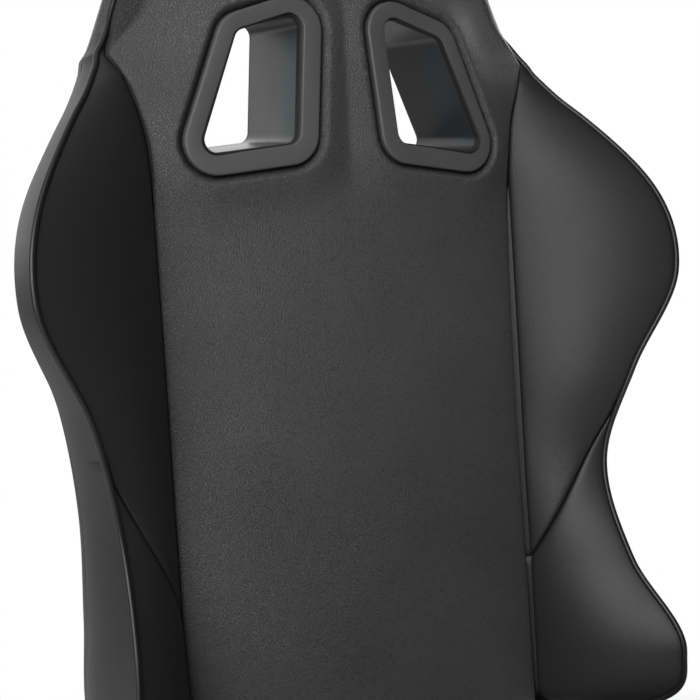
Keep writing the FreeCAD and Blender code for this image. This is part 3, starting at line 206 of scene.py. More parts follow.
def surface(name, points, wrap=False, caps=False, painted_shade=None):
    """A mesh over a grid of points: rows by columns, closed round the columns where wrapped,
    and closed at both ends, where capped, by a fan to the middle of the end row. A last grid,
    if given, becomes an attribute of painted shade, from 0 to 1, darkest where the cover is
    gathered into a seam."""
    rows, columns = points.shape[:2]
    spots = points.reshape(-1, 3)
    number = np.arange(rows * columns).reshape(rows, columns)
    after = np.roll(number, -1, axis=1) if wrap else number[:, 1:]
    here = number if wrap else number[:, :-1]
    quads = np.stack([here[:-1], after[:-1], after[1:], here[1:]], axis=-1).reshape(-1, 4)
    faces = quads.tolist()
    if caps:
        spots = np.concatenate([spots, points[0].mean(0)[None], points[-1].mean(0)[None]])
        first, last = rows * columns, rows * columns + 1
        faces += [(first, b, a) for a, b in zip(here[0].tolist(), after[0].tolist())]
        faces += [(last, a, b) for a, b in zip(here[-1].tolist(), after[-1].tolist())]
    mesh = bpy.data.meshes.new(name)
    mesh.from_pydata(spots.tolist(), [], faces)
    mesh.polygons.foreach_set("use_smooth", np.ones(len(mesh.polygons), bool))
    mesh.set_sharp_from_angle(angle=SHARP_FOLD)
    if painted_shade is not None:
        shares = np.zeros(len(mesh.vertices))
        shares[:rows * columns] = np.clip(painted_shade, 0.0, 1.0).ravel()
        mesh.attributes.new("painted_shade", "FLOAT", "POINT").data.foreach_set("value", shares)
    piece = bpy.data.objects.new(name, mesh)
    bpy.context.scene.collection.objects.link(piece)
    return piece


def leather(name, skin_hex, crease_hex, roughness, grain, depth, sheen):
    """Synthetic leather: PU film pressed with a grain on a knitted back, which gives a soft
    broad shine. The grain, in mm, is cells of that width, pushed about by a noise 2.4 grains
    wide, with creases between them and a finer noise of 0.35 grains on top. Patches about
    110 mm wide vary its colour and shine. A painted shade from the mesh's attribute turns it
    near black in the seams, where it is gathered, round the slots and at the head's rolled edge."""
    made, tree = blank(name)
    place = add(tree, "TexCoord").outputs["Object"]
    drift = add(tree, "TexNoise", {"Scale": 420.0 / grain, "Detail": 2.0}, {"Vector": place})
    shaken = add(tree, "VectorMath", {"operation": "MULTIPLY_ADD", 1: (0.0012 * grain,) * 3},
                 {0: drift.outputs["Color"], 2: place})
    cells = add(tree, "TexVoronoi", {"feature": "DISTANCE_TO_EDGE", "Scale": 1000.0 / grain},
                {"Vector": shaken.outputs[0]})
    crease = add(tree, "MapRange", {"From Max": 0.22},
                 {"Value": cells.outputs["Distance"]})
    fine = add(tree, "TexNoise", {"Scale": 1000.0 / (0.35 * grain), "Detail": 3.0},
               {"Vector": place})
    height = add(tree, "Math", {"operation": "MULTIPLY_ADD", 1: 0.35},
                 {0: fine.outputs["Fac"], 2: crease.outputs[0]})
    bump = add(tree, "Bump", {"Strength": depth, "Distance": 0.00035 * grain},
               {"Height": height.outputs[0]})
    patch = add(tree, "TexNoise", {"Scale": 9.0, "Detail": 3.0}, {"Vector": place})
    shade = add(tree, "MapRange", {"From Min": 0.3, "From Max": 0.7, "To Max": 0.22},
                {"Value": patch.outputs["Fac"]})
    worn = add(tree, "Math", {"operation": "MULTIPLY_ADD", 1: -0.55, 2: 0.62},
               {0: crease.outputs[0]})
    dark = add(tree, "Math", {"operation": "ADD", "use_clamp": True},
               {0: shade.outputs[0], 1: worn.outputs[0]})
    grained = add(tree, "Mix",
                  {"data_type": "RGBA", 6: linear(skin_hex), 7: linear(crease_hex)},
                  {0: dark.outputs[0]})
    # Painted shade: the mesh's attribute mixes the colour towards near black.
    shade_share = add(tree, "Attribute", {"attribute_name": "painted_shade"})
    colour = add(tree, "Mix", {"data_type": "RGBA", 7: linear("#050505")},
                 {0: shade_share.outputs["Fac"], 6: grained.outputs[2]})
    dull = add(tree, "MapRange", {"From Min": 0.3, "From Max": 0.7,
                                  "To Min": roughness - 0.03, "To Max": roughness + 0.04},
               {"Value": patch.outputs["Fac"]})
    return finished(made, {"IOR": 1.45, "Sheen Weight": sheen, "Sheen Roughness": 0.5},
                    {"Base Color": colour.outputs[2], "Roughness": dull.outputs[0],
                     "Normal": bump.outputs[0]})


# Grain-pressed leather: charcoal cells between darker creases, which break up its shine. The
# grain is drawn at 1.9 mm, coarser than the real one, so that it shows.
GRAINED_LEATHER = leather("pressed_grain_synthetic_leather", "#484848", "#202021", 0.48,
                          grain=1.9, depth=0.5, sheen=0.06)

SEAM_PLANE = 35.0    # the centre seams lie this far ahead of the recline axis
PANEL_HALF, PANEL_CROWN, PANEL_LOW = 163.0, 13.0, 10.0
FLARE_START, NECK_UP, NECK_FLARE = 540.0, 633.0, 26.0
FLARE_RADIUS = ((NECK_UP - FLARE_START) ** 2 + NECK_FLARE ** 2) / (2 * NECK_FLARE)
# By height: how far the cover's edges lie behind the seam plane, then the head's half width,
# edges and crown.
EDGE_UP = (0.0, FLARE_START, 586.0, 612.0, NECK_UP)
EDGE_FALL = (0.0, 0.0, -3.0, -3.0, 6.0)
HEAD_UP = (633.0, 645.0, 660.0, 695.0, 745.0, 795.0, 828.0, 848.0)
HEAD_HALF = (189.0, 185.5, 180.0, 167.0, 153.0, 138.0, 116.0, 84.0)
HEAD_FALL = (6.0, 10.0, 12.5, 14.0, 14.0, 15.0, 19.0, 25.0)
HEAD_CROWN = (13.0, 13.0, 13.0, 13.0, 13.0, 12.0, 7.0, 0.0)
HEAD_ROLL, ROLL_FULL = 14.0, 665.0
CROWN_TOP = 848.0


def seam_half(up):
    """Half width of the centre cover: steady, then flaring on an arc, then the head's."""
    climb = np.clip(up - FLARE_START, 0.0, NECK_UP - FLARE_START)
    flare = PANEL_HALF + FLARE_RADIUS - np.sqrt(FLARE_RADIUS ** 2 - climb ** 2)
    return np.where(up > NECK_UP, smooth_line(up, HEAD_UP, HEAD_HALF), flare)


def edge_fall(up):
    """How far the centre cover's edges lie behind the seam plane."""
    return np.where(up > NECK_UP, smooth_line(up, HEAD_UP, HEAD_FALL),
                    smooth_line(up, EDGE_UP, EDGE_FALL))


def roll_radius(up):
    """Radius of the roll at the head's edge, which grows from nothing at the neck."""
    return 0.01 + HEAD_ROLL * np.clip((up - NECK_UP) / (ROLL_FULL - NECK_UP), 0.0, 1.0)


def edge_roll(gap, up):
    """How far the head's cover drops in the quarter round at its edge, at a gap from it."""
    radius = roll_radius(up)
    short = np.clip(radius - gap, 0.0, radius)
    return radius - np.sqrt(radius ** 2 - short ** 2)


def panel_depth(across, up):
    """Front of the plain centre cover, as a distance behind the recline axis: an arc across,
    whose middle stands ahead of the seam plane."""
    crown = np.where(up > NECK_UP, smooth_line(up, HEAD_UP, HEAD_CROWN), PANEL_CROWN)
    sag = crown + edge_fall(up)
    half = seam_half(up)
    radius = (half ** 2 + sag ** 2) / (2 * sag)
    drop = radius - np.sqrt(np.maximum(radius ** 2 - across ** 2, 1.0))
    return -SEAM_PLANE - crown + drop


# The slot on the right, as (across, up) corners. Its bezel is set a little aside and down from
# it, and turned outwards, and its tunnel runs level through the leaning back.
SLOT_CORNERS = np.array([(46.0, 562.0), (130.0, 552.5), (92.0, 649.0), (36.0, 667.0)])
SLOT_ROUND, SLOT_MIDDLE, SLOT_CENTRE = 10.0, 88.0, (76.0, 607.0)
BEZEL_RIM, BEZEL_FACE = 15.8, -51.0
BEZEL_TURN = math.tan(math.radians(4.3))
BEZEL_ASIDE, BEZEL_DOWN = -0.9, -1.5
TUNNEL_RISE = math.tan(REST_LEAN)


def slot_lines(grow):
    """The slot's four sides, drawn in by its corner radius: their outward normals, offsets and
    headings, the points where they meet, and the radius, grown, that goes round these."""
    sides = np.roll(SLOT_CORNERS, -1, axis=0) - SLOT_CORNERS
    headings = np.arctan2(sides[:, 1], sides[:, 0])
    normals = np.stack([np.sin(headings), -np.cos(headings)], axis=1)
    offsets = (normals * SLOT_CORNERS).sum(1) - SLOT_ROUND
    cores = np.array([np.linalg.solve(normals[[i - 1, i]], offsets[[i - 1, i]]) for i in range(4)])
    return normals, offsets, headings, cores, SLOT_ROUND + grow


def slot_distance(across, up, grow):
    """Distance outside the slot's rounded outline, grown: that to its drawn-in sides, or to
    the nearest of their corners, less the radius."""
    normals, offsets, _, cores, radius = slot_lines(grow)
    spot = np.stack([across, up], axis=-1)
    outside = np.full(across.shape, -1e9)
    near = np.full(across.shape, 1e9)
    for i in range(4):
        outside = np.maximum(outside, spot @ normals[i] - offsets[i])
        run = cores[(i + 1) % 4] - cores[i]
        share = np.clip(((spot - cores[i]) @ run) / (run @ run), 0.0, 1.0)
        near = np.minimum(near, np.linalg.norm(spot - cores[i] - share[..., None] * run, axis=-1))
    return np.where(outside > 0, near, outside) - radius


PUFF_REACH, PUFF_AHEAD = 24.0, 1.2
GROOVE_START, GROOVE_WIDTH, GROOVE_DEPTH = -1.0, 7.5, 9.0
GATHER_HEIGHT, GATHER_PLACE = 0.22, 5.0
# Painted shade in the gap round the bezel: full up to 0.5 mm from it, gone at 5.5 mm.
BEZEL_SHADE_FROM, BEZEL_SHADE_TO = 0.5, 5.5


def drawn_down(across, up, depth):
    """The cover round a slot: it swells to just ahead of the bezel, then rolls down into a
    gap round the bezel's edge, with small gathers: two waves, of 46 and 31 to the round. Gives
    the new depth and the painted shade of each point, full in the gap round the bezel."""
    side = np.abs(across)
    gap = slot_distance(side - BEZEL_ASIDE, up - BEZEL_DOWN, BEZEL_RIM)
    level = BEZEL_FACE - PUFF_AHEAD + BEZEL_TURN * (side - SLOT_MIDDLE)
    swell = np.exp(-(np.maximum(gap, 0.0) / PUFF_REACH) ** 2)
    turn = np.arctan2(up - SLOT_CENTRE[1], side - SLOT_CENTRE[0])
    gathers = (np.sin(46 * turn) + 0.7 * np.sin(31 * turn + 1.0)) * GATHER_HEIGHT
    gathers *= np.exp(-((gap - GATHER_PLACE) / GATHER_PLACE) ** 2)
    rolled = (1 - ramp(gap, GROOVE_START, GROOVE_WIDTH)) * GROOVE_DEPTH
    return depth + (level - depth) * swell + rolled + gathers, 1 - ramp(gap, BEZEL_SHADE_FROM, BEZEL_SHADE_TO)


def into_seam(distance, *draws):
    """How far the cover sinks at a distance from a seam: for each draw, which is a depth and a
    reach in mm, the depth times e to the power of minus the distance over the reach."""
    return sum(depth * np.exp(-np.maximum(distance, 0.0) / reach) for depth, reach in draws)


DOME_RISE, DOME_MIDDLE, DOME_FULLNESS = 10.0, 8.0, 0.7
DOME_SHARES = 0.25, 0.5, 0.72, 0.88, 0.97


def dome(points):
    """Rows that close a form over its top: the last row drawn in to its middle on an ellipse."""
    rows = []
    last = points[-1]
    for angle in np.array(DOME_SHARES) * math.pi / 2:
        tight = math.cos(angle) ** DOME_FULLNESS
        top = np.full(len(last), CROWN_TOP + DOME_RISE * math.sin(angle))
        rows.append(np.stack([last[:, 0] * tight,
                              DOME_MIDDLE + (last[:, 1] - DOME_MIDDLE) * tight, top], axis=-1))
    return np.concatenate([points, np.array(rows)])


def close_at_ends(count, closeness):
    """Shares from 0 to 1 that lie closer together towards both ends."""
    even = np.linspace(0.0, 1.0, count)
    return even - closeness * np.sin(2 * math.pi * even) / (2 * math.pi)


# The draws beside the centre seams, which end at the neck, and the painted shade on the cover:
# in the seams, and a dark band of painted shade on the head's rolled edge.
CENTRE_SEAM = (2.2, 1.3), (1.4, 7.0)
SEAM_END_FROM, SEAM_END_TO = 625.0, 660.0
SEAM_SHADE = (1.0, 0.7)
EDGE_SHADE, BAND_FROM, BAND_TO = 0.95, 625.0, 650.0
SIDE_POINTS = 13
HEAD_SIDE_BULGE, BULGE_FROM, BULGE_TO = 9.0, 636.0, 652.0

# The rows lie closer together across the slots and the neck.
rows_up = np.concatenate([np.linspace(PANEL_LOW, 520.0, 130), np.linspace(524.0, 712.0, 118),
                          np.linspace(716.0, CROWN_TOP, 50)])
share_grid, up_grid = np.meshgrid(2 * close_at_ends(240, 0.75) - 1, rows_up)
across = share_grid * seam_half(up_grid)
depth, shade_share = drawn_down(across, up_grid, panel_depth(across, up_grid))
edge_gap = seam_half(up_grid) - np.abs(across)
depth = depth + into_seam(edge_gap, *CENTRE_SEAM) * (1 - ramp(up_grid, SEAM_END_FROM, SEAM_END_TO))
depth = depth + edge_roll(edge_gap, up_grid)
# Painted shade: darkest in the centre seams and in a band along the head's rolled edge.
shade_share = np.maximum(shade_share, into_seam(edge_gap, SEAM_SHADE))
band = 1 - ramp(edge_gap, 0.9 * roll_radius(up_grid), 1.7 * roll_radius(up_grid))
shade_share = np.maximum(shade_share, EDGE_SHADE * band * ramp(up_grid, BAND_FROM, BAND_TO))
front = np.stack([across, depth, up_grid], axis=-1)
to_rear = np.linspace(0.0, 1.0, SIDE_POINTS + 1)[1:]
side_bulge = HEAD_SIDE_BULGE * np.sin(to_rear * math.pi / 2)
side_bulge = side_bulge * ramp(rows_up, BULGE_FROM, BULGE_TO)[:, None]
right_side = np.stack([across[:, -1:] + side_bulge, depth[:, -1:] * (1 - to_rear),
                       np.repeat(up_grid[:, :1], SIDE_POINTS, 1)], axis=-1)
left_side = right_side[:, ::-1] * np.array([-1.0, 1.0, 1.0])
loops = dome(np.concatenate([front, right_side, left_side], axis=1))
painted_shades = np.zeros(loops.shape[:2])
painted_shades[:len(rows_up), :shade_share.shape[1]] = shade_share
centre_cover = surface("centre_cover", leaned(loops[..., 0], loops[..., 1], loops[..., 2]),
                       wrap=True, caps=True, painted_shade=painted_shades)
centre_cover.data.materials.append(GRAINED_LEATHER)


def slot_outline(grow):
    """The slot's rounded outline, grown, as points in order: arcs of 10 points joined by
    straight sides of 6."""
    normals, offsets, headings, cores, radius = slot_lines(grow)
    arcs = []
    for i in range(4):
        turn = (headings[i] - headings[i - 1]) % (2 * math.pi)
        angles = headings[i - 1] + turn * np.linspace(0.0, 1.0, 10)
        arcs.append(cores[i] + radius * np.stack([np.sin(angles), -np.cos(angles)], axis=1))
    sides = [np.linspace(arcs[i][-1], arcs[(i + 1) % 4][0], 8)[1:-1] for i in range(4)]
    return np.concatenate([run for pair in zip(arcs, sides) for run in pair])


def slot_sweep(name, profile, side, turned):
    """A ring round a slot: a closed profile of (distance outside the opening, depth) pairs
    carried along the slot's outline, which rises with depth as the tunnel does. Its outer
    edge is set aside and turned with the bezel where turned."""
    rings = []
    for grow, depth in profile:
        outline = slot_outline(grow)
        share = grow / BEZEL_RIM if turned else 0.0
        across = outline[:, 0] + BEZEL_ASIDE * share
        rearward = np.full(len(across), depth)
        if turned:
            rearward += BEZEL_TURN * (across - SLOT_MIDDLE)
        rise = outline[:, 1] + BEZEL_DOWN * share + TUNNEL_RISE * (depth - BEZEL_FACE)
        rings.append(leaned(across * side, rearward, rise))
    grid = np.stack(rings, axis=1)
    return surface(name, np.concatenate([grid, grid[:1]]), wrap=True)


def weld(piece):
    """Joins a mesh's coinciding points and turns its faces outwards."""
    work = bmesh.new()
    work.from_mesh(piece.data)
    bmesh.ops.remove_doubles(work, verts=work.verts, dist=1e-6)
    bmesh.ops.recalc_face_normals(work, faces=work.faces)
    work.to_mesh(piece.data)
    work.free()


def dress(piece, material, sharp):
    """Closes a mesh's joins, creases the edges that turn by more than sharp, in degrees, and
    gives it its material."""
    weld(piece)
    piece.data.set_sharp_from_angle(angle=math.radians(sharp))
    piece.data.materials.append(material)


def settle(piece):
    """Makes a piece's modifiers part of its mesh."""
    bpy.context.view_layer.update()
    shown = piece.evaluated_get(bpy.context.evaluated_depsgraph_get())
    piece.data = bpy.data.meshes.new_from_object(shown)
    piece.modifiers.clear()


def cut_away(piece, tool):
    """Cuts a closed tool out of a closed piece, and takes the tool away."""
    weld(tool)
    cut = piece.modifiers.new("cut", "BOOLEAN")
    cut.operation = "DIFFERENCE"
    cut.solver = "EXACT"
    cut.object = tool
    settle(piece)
    bpy.data.objects.remove(tool)


LINER_ROOM = 2.6


def cut_slots(piece):
    """Cuts both tunnels through a closed piece, wider than the slot by the liner's room."""
    outline = slot_outline(LINER_ROOM)
    for side in (-1, 1):
        ends = [leaned(outline[:, 0] * side, np.full(len(outline), depth),
                       outline[:, 1] + TUNNEL_RISE * (depth - BEZEL_FACE))
                for depth in (-90.0, 90.0)]
        cut_away(piece, surface("slot_tool", np.array(ends), wrap=True, caps=True))


weld(centre_cover)
cut_slots(centre_cover)
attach(centre_cover, "backrest")
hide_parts("back_centre_pad")

# Wings. Shoulder and lumbar wings: foam under smooth synthetic leather. Each rises from the centre
# seam, is parted by a diagonal seam, and turns over a piped edge into a rounded gusset.
# By height: the wing's width, how far its edge stands ahead, and its width at the rear.
WING_UP = (62.0, 76.0, 118.0, 195.0, 280.0, 360.0, 445.0, 520.0, 582.0, 600.0, 615.0, 628.0,
           640.0, 652.0)
WING_WIDTH = (46.0, 64.0, 74.0, 59.0, 57.0, 77.0, 114.0, 101.0, 58.5, 40.0, 25.0, 12.0, 5.0, 2.5)
WING_AHEAD = (62.0, 92.0, 113.0, 69.0, 41.0, 62.0, 82.0, 68.0, 27.0, 12.0, 1.0, -8.0, -14.5,
              -20.0)
WING_REAR = (50.0, 64.0, 71.0, 68.0, 66.0, 75.0, 98.0, 90.0, 56.0, 41.0, 28.0, 17.0, 10.5, 9.0)
FRONT_BULGE, SIDE_BULGE = 0.085, 0.062    # the height of each bulge as a share of its chord
WALL_TUCK = 4.0
HANDS = (1, "right"), (-1, "left")
# The third draw here, and the second on the diagonal seam's line, give painted shade, not depth.
WING_SEAM, WING_WELT, WELT_SHADE = ((2.2, 1.3), (1.0, 7.0)), (1.6, 2.2), (0.7, 1.4)
GUSSET_WELT, GUSSET_REAR, WING_END = (1.2, 2.2), (1.5, 2.5), (9.0, 5.0)
DIAGONAL_LOW, DIAGONAL_SLOPE = 193.0, 126.0 / 62.0
DIAGONAL_SEAM, SEWN_SHADE = ((2.0, 1.5), (1.4, 6.0)), (1.0, 1.1)
FACE_SHARE = 0.55    # the wing's width as a share of its face across the diagonal seam

# Nearly smooth leather: a dark, even skin. Its faint grain, drawn at 1.1 mm so that it shows,
# only softens its shine.
SMOOTH_LEATHER = leather("smooth_synthetic_leather", "#262627", "#18181a", 0.46,
                         grain=1.1, depth=0.18, sheen=0.0)

# A section's columns in order: the front from seam to edge, the side to the rear, the rear back
# to the seam, and the inner wall. Each has its share of the wing's width.
FRONT_STEPS = close_at_ends(84, 0.75)
SIDE_STEPS = close_at_ends(36, 0.6)[1:]
REAR_STEPS = np.linspace(1.0, 0.0, 7)[1:]
WALL_STEPS = np.array([0.25, 0.5, 0.75])
LOOP_SHARE = np.concatenate([FRONT_STEPS, np.ones(len(SIDE_STEPS)), REAR_STEPS,
                             np.zeros(len(WALL_STEPS))])
FRONT = slice(0, len(FRONT_STEPS))
SIDE = slice(FRONT.stop, FRONT.stop + len(SIDE_STEPS))
REAR = slice(SIDE.stop, None)
WALL = slice(-len(WALL_STEPS), None)


def wing_loop(up, crease):
    """Closed sections of the right wing. Up gives each column's height, and crease how far
    it sinks there. Front: a bulged chord from seam to edge. Side: a bulged chord to the rear.
    Gives across, rearward and each point's painted shade at its seams and welt."""
    shade_share = np.zeros(up.shape)
    rise = up[:, FRONT]
    width, ahead = (smooth_line(rise, WING_UP, row) for row in (WING_WIDTH, WING_AHEAD))
    start = np.minimum(0.0, ahead)
    chord = np.hypot(width, ahead - start)
    run = FRONT_STEPS * chord
    bulge = 4 * FRONT_BULGE * chord * FRONT_STEPS * (1 - FRONT_STEPS)
    sink = into_seam(run, *WING_SEAM) + into_seam(chord - run, WING_WELT)
    stand = bulge - sink - crease[:, FRONT]
    # Painted shade at the centre seam and at the welt.
    shade_share[:, FRONT] = into_seam(run, SEAM_SHADE) + into_seam(chord - run, WELT_SHADE)
    front_u = seam_half(rise) + width * FRONT_STEPS - (ahead - start) / chord * stand
    front_y = -SEAM_PLANE - start - (ahead - start) * FRONT_STEPS - width / chord * stand

    rise = up[:, SIDE]
    width, ahead, rear = (smooth_line(rise, WING_UP, row)
                          for row in (WING_WIDTH, WING_AHEAD, WING_REAR))
    chord = np.hypot(rear - width, SEAM_PLANE + ahead)
    run = SIDE_STEPS * chord
    bulge = 4 * SIDE_BULGE * chord * SIDE_STEPS * (1 - SIDE_STEPS)
    sink = into_seam(run, GUSSET_WELT) + into_seam(chord - run, GUSSET_REAR)
    stand = bulge - sink - crease[:, SIDE]
    # Painted shade at the welt.
    shade_share[:, SIDE] = into_seam(run, WELT_SHADE)
    side_u = (seam_half(rise) + width + (rear - width) * SIDE_STEPS
              + stand * (SEAM_PLANE + ahead) / chord)
    side_y = -(SEAM_PLANE + ahead) * (1 - SIDE_STEPS) + stand * (width - rear) / chord

    rise = up[:, REAR]
    rear = smooth_line(rise, WING_UP, WING_REAR)
    back_u = seam_half(rise) + rear * LOOP_SHARE[REAR] - WALL_TUCK * (1 - LOOP_SHARE[REAR])
    back_y = np.zeros_like(back_u)
    sunk = np.minimum(0.0, smooth_line(up[:, WALL], WING_UP, WING_AHEAD))
    back_y[:, WALL] = -(SEAM_PLANE + sunk) * WALL_STEPS
    return (np.concatenate([front_u, side_u, back_u], axis=1),
            np.concatenate([front_y, side_y, back_y], axis=1), shade_share)


def seam_up(share):
    """Height of the diagonal seam at a share of the wing's width: its slope times the width
    there, found by repeated steps."""
    up = np.full(share.shape, DIAGONAL_LOW)
    for _ in range(30):
        climbed = DIAGONAL_LOW + DIAGONAL_SLOPE * share * smooth_line(up, WING_UP, WING_WIDTH)
        up = 0.5 * up + 0.5 * climbed
    return up


parting = seam_up(LOOP_SHARE)
seam_shown = np.zeros(len(LOOP_SHARE))
seam_shown[FRONT] = 1.0
seam_shown[SIDE] = 1 - ramp(SIDE_STEPS, 0.0, 0.35)
foot, tip = (np.full(len(LOOP_SHARE), end) for end in (WING_UP[0], WING_UP[-1]))
for label, low, high, count in (("lumbar_wing", foot, parting, 110),
                                ("shoulder_wing", parting, tip, 160)):
    up = low + (high - low) * close_at_ends(count, 0.7)[:, None]
    away = np.abs(up - parting) * math.cos(math.atan(DIAGONAL_SLOPE * FACE_SHARE))
    crease = into_seam(away, *DIAGONAL_SEAM) * seam_shown
    u, y, shade_share = wing_loop(up, crease + into_seam(np.abs(up - WING_UP[0]), WING_END))
    # Painted shade along the diagonal seam.
    shade_share = np.maximum(shade_share, into_seam(away, SEWN_SHADE) * seam_shown)
    for side, hand in HANDS:
        points = leaned(u * side, y, up)
        wing = surface(f"{label}_cover_{hand}", points[:, ::side], wrap=True, caps=True,
                       painted_shade=shade_share[:, ::side])
        dress(wing, SMOOTH_LEATHER, 50)
        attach(wing, "backrest")
        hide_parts(f"{label}_{hand}")

# Piping. Welt piping: a cord of about 5 mm in a strip of the same leather, sewn into the edge from
# the foot of one wing up round the head and down the other.
PIPING_RADIUS = 2.5
PIPING_STAND, PIPING_OVER, PIPING_JOIN = 1.5, 3.0, 662.0
# The same leather pulled tight over the cord, which makes it glossier.
PIPING = leather("piping_leather", "#1c1c1d", "#101011", 0.34, grain=0.9, depth=0.15, sheen=0.0)


def tube(name, path, radius):
    """A round tube of 12 sides carried along a path of points in metres. Its ring is turned
    square to the path, from a direction that no cord here runs in."""
    ahead = np.gradient(path, axis=0)
    ahead /= np.linalg.norm(ahead, axis=1)[:, None]
    across = np.cross(ahead, np.array([0.12, 1.0, 0.05]))
    across /= np.linalg.norm(across, axis=1)[:, None]
    up = np.cross(across, ahead)
    angles = np.linspace(0.0, 2 * math.pi, 12, endpoint=False)
    ring = (np.cos(angles)[None, :, None] * across[:, None]
            + np.sin(angles)[None, :, None] * up[:, None])
    return surface(name, path[:, None] + ring * radius, wrap=True, caps=True)


rise = np.linspace(WING_UP[0], WING_UP[-1], 330)
wing_edge = np.stack([seam_half(rise) + smooth_line(rise, WING_UP, WING_WIDTH),
                      -SEAM_PLANE - smooth_line(rise, WING_UP, WING_AHEAD), rise], axis=-1)
climb = np.linspace(PIPING_JOIN, CROWN_TOP, 120)
head_depth = -SEAM_PLANE + edge_fall(climb) + roll_radius(climb)
head_edge = np.stack([seam_half(climb) + PIPING_STAND, head_depth + PIPING_STAND, climb], axis=-1)
edge = np.concatenate([wing_edge, head_edge])
distance = np.concatenate([[0.0], np.cumsum(np.linalg.norm(np.diff(edge, axis=0), axis=1))])
even = np.linspace(0.0, distance[-1], 420)
edge = np.stack([np.interp(even, distance, edge[:, i]) for i in range(3)], axis=-1)
for _ in range(6):
    edge[1:-1] = 0.25 * edge[:-2] + 0.5 * edge[1:-1] + 0.25 * edge[2:]
turn = np.linspace(0.0, math.pi, 42)[1:-1]
over = np.stack([edge[-1, 0] * np.cos(turn), edge[-1, 1] + PIPING_OVER * np.sin(turn),
                 CROWN_TOP + (DOME_RISE - PIPING_OVER) * np.sin(turn) ** 0.5], axis=-1)
edge = np.concatenate([edge, over, edge[::-1] * np.array([-1.0, 1.0, 1.0])])
piping = tube("back_piping", leaned(edge[:, 0], edge[:, 1], edge[:, 2]), PIPING_RADIUS / 1000.0)
piping.data.materials.append(PIPING)
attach(piping, "backrest")

# Slot bezels. Moulded ABS rings that frame the slots, with a spark-eroded matt face, softly
# rounded edges and a bare lower rim. A plainer ring frames each tunnel at the rear.
BEZEL_BACK, COVER_REAR = -44.0, 52.0
INNER_ROUND, OUTER_ROUND = 1.2, 2.2
REAR_RIM, REAR_THICK, REAR_ROUND = 13.0, 4.0, 1.5
SHADE_RING = 1.0    # the front bezel's inner edge stands back by this, for a near-black ring of painted shade


def handled(tree, place, base_hex, clouds, tints, dulls):
    """The colour and roughness that handling leaves: in soft clouds, so many to the metre, the
    colour's brightness runs between two tints and the roughness between two dulls."""
    cloud = add(tree, "TexNoise", {"Scale": clouds, "Detail": 4.0}, {"Vector": place})
    dull, tint = (add(tree, "MapRange", {"From Min": 0.3, "From Max": 0.7,
                                         "To Min": low, "To Max": high},
                      {"Value": cloud.outputs["Fac"]}) for low, high in (dulls, tints))
    shade = add(tree, "VectorMath", {"operation": "SCALE", 0: linear(base_hex)[:3]},
                {"Scale": tint.outputs[0]})
    return shade.outputs[0], dull.outputs[0]


def moulded(name, base_hex, roughness, texture, depth, ior=1.5):
    """Moulded plastic: an even colour with the mould's fine matt texture, in mm, which
    spreads its shine, and faint cloudiness from handling."""
    made, tree = blank(name)
    place = add(tree, "TexCoord").outputs["Object"]
    grit = add(tree, "TexNoise", {"Scale": 1000.0 / texture, "Detail": 3.0}, {"Vector": place})
    bump = add(tree, "Bump", {"Strength": depth, "Distance": 0.0002},
               {"Height": grit.outputs["Fac"]})
    shade, dull = handled(tree, place, base_hex, 14.0, (0.92, 1.06),
                          (roughness - 0.04, roughness + 0.05))
    return finished(made, {"IOR": ior},
                    {"Base Color": shade, "Roughness": dull, "Normal": bump.outputs[0]})


# Spark-eroded ABS: a mid grey with no clear highlight. Its texture is drawn at 0.7 mm, coarser
# than the real one, so that it shows.
BEZEL_PLASTIC = moulded("matt_moulded_abs", "#454545", 0.55, texture=0.7, depth=0.3)


def rounded(start, stop, centre):
    """Five points of a quarter round between two points about a centre, as (grow, depth)
    pairs."""
    first = math.atan2(start[1] - centre[1], start[0] - centre[0])
    last = math.atan2(stop[1] - centre[1], stop[0] - centre[0])
    turn = (last - first + math.pi) % (2 * math.pi) - math.pi
    radius = math.hypot(start[0] - centre[0], start[1] - centre[1])
    angles = [first + turn * i / 4 for i in range(5)]
    return [(centre[0] + radius * math.cos(angle), centre[1] + radius * math.sin(angle))
            for angle in angles]


front_inner = (SHADE_RING + INNER_ROUND, BEZEL_FACE + INNER_ROUND)
front_outer = (BEZEL_RIM - OUTER_ROUND, BEZEL_FACE + OUTER_ROUND)
front_profile = ([(SHADE_RING, BEZEL_BACK)]
                 + rounded((SHADE_RING, front_inner[1]), (front_inner[0], BEZEL_FACE), front_inner)
                 + rounded((front_outer[0], BEZEL_FACE), (BEZEL_RIM, front_outer[1]), front_outer)
                 + [(BEZEL_RIM, BEZEL_BACK)])
rear_face = COVER_REAR + REAR_THICK
rear_outer = (REAR_RIM - REAR_ROUND, rear_face - REAR_ROUND)
rear_inner = (REAR_ROUND, rear_face - REAR_ROUND)
rear_profile = ([(0.0, COVER_REAR), (REAR_RIM, COVER_REAR)]
                + rounded((REAR_RIM, rear_outer[1]), (rear_outer[0], rear_face), rear_outer)
                + rounded((rear_inner[0], rear_face), (0.0, rear_inner[1]), rear_inner))
for side, hand in HANDS:
    for where, profile, turned in (("front", front_profile, True), ("rear", rear_profile, False)):
        bezel = slot_sweep(f"{where}_bezel_{hand}", profile, side, turned)
        dress(bezel, BEZEL_PLASTIC, 35)
        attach(bezel, "backrest")
        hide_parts(f"slot_bezel_{where}_{hand}")

# Slot shade rings. A near-black lip set into each front bezel's inner edge: painted shade
# for the gap between the bezel and the liner.
SHADE_RING_FACE, SHADE_RING_ROUND = BEZEL_FACE + 0.8, 0.6
SHADE_RING_INNER, SHADE_RING_OUTER = -0.25, SHADE_RING - 0.02
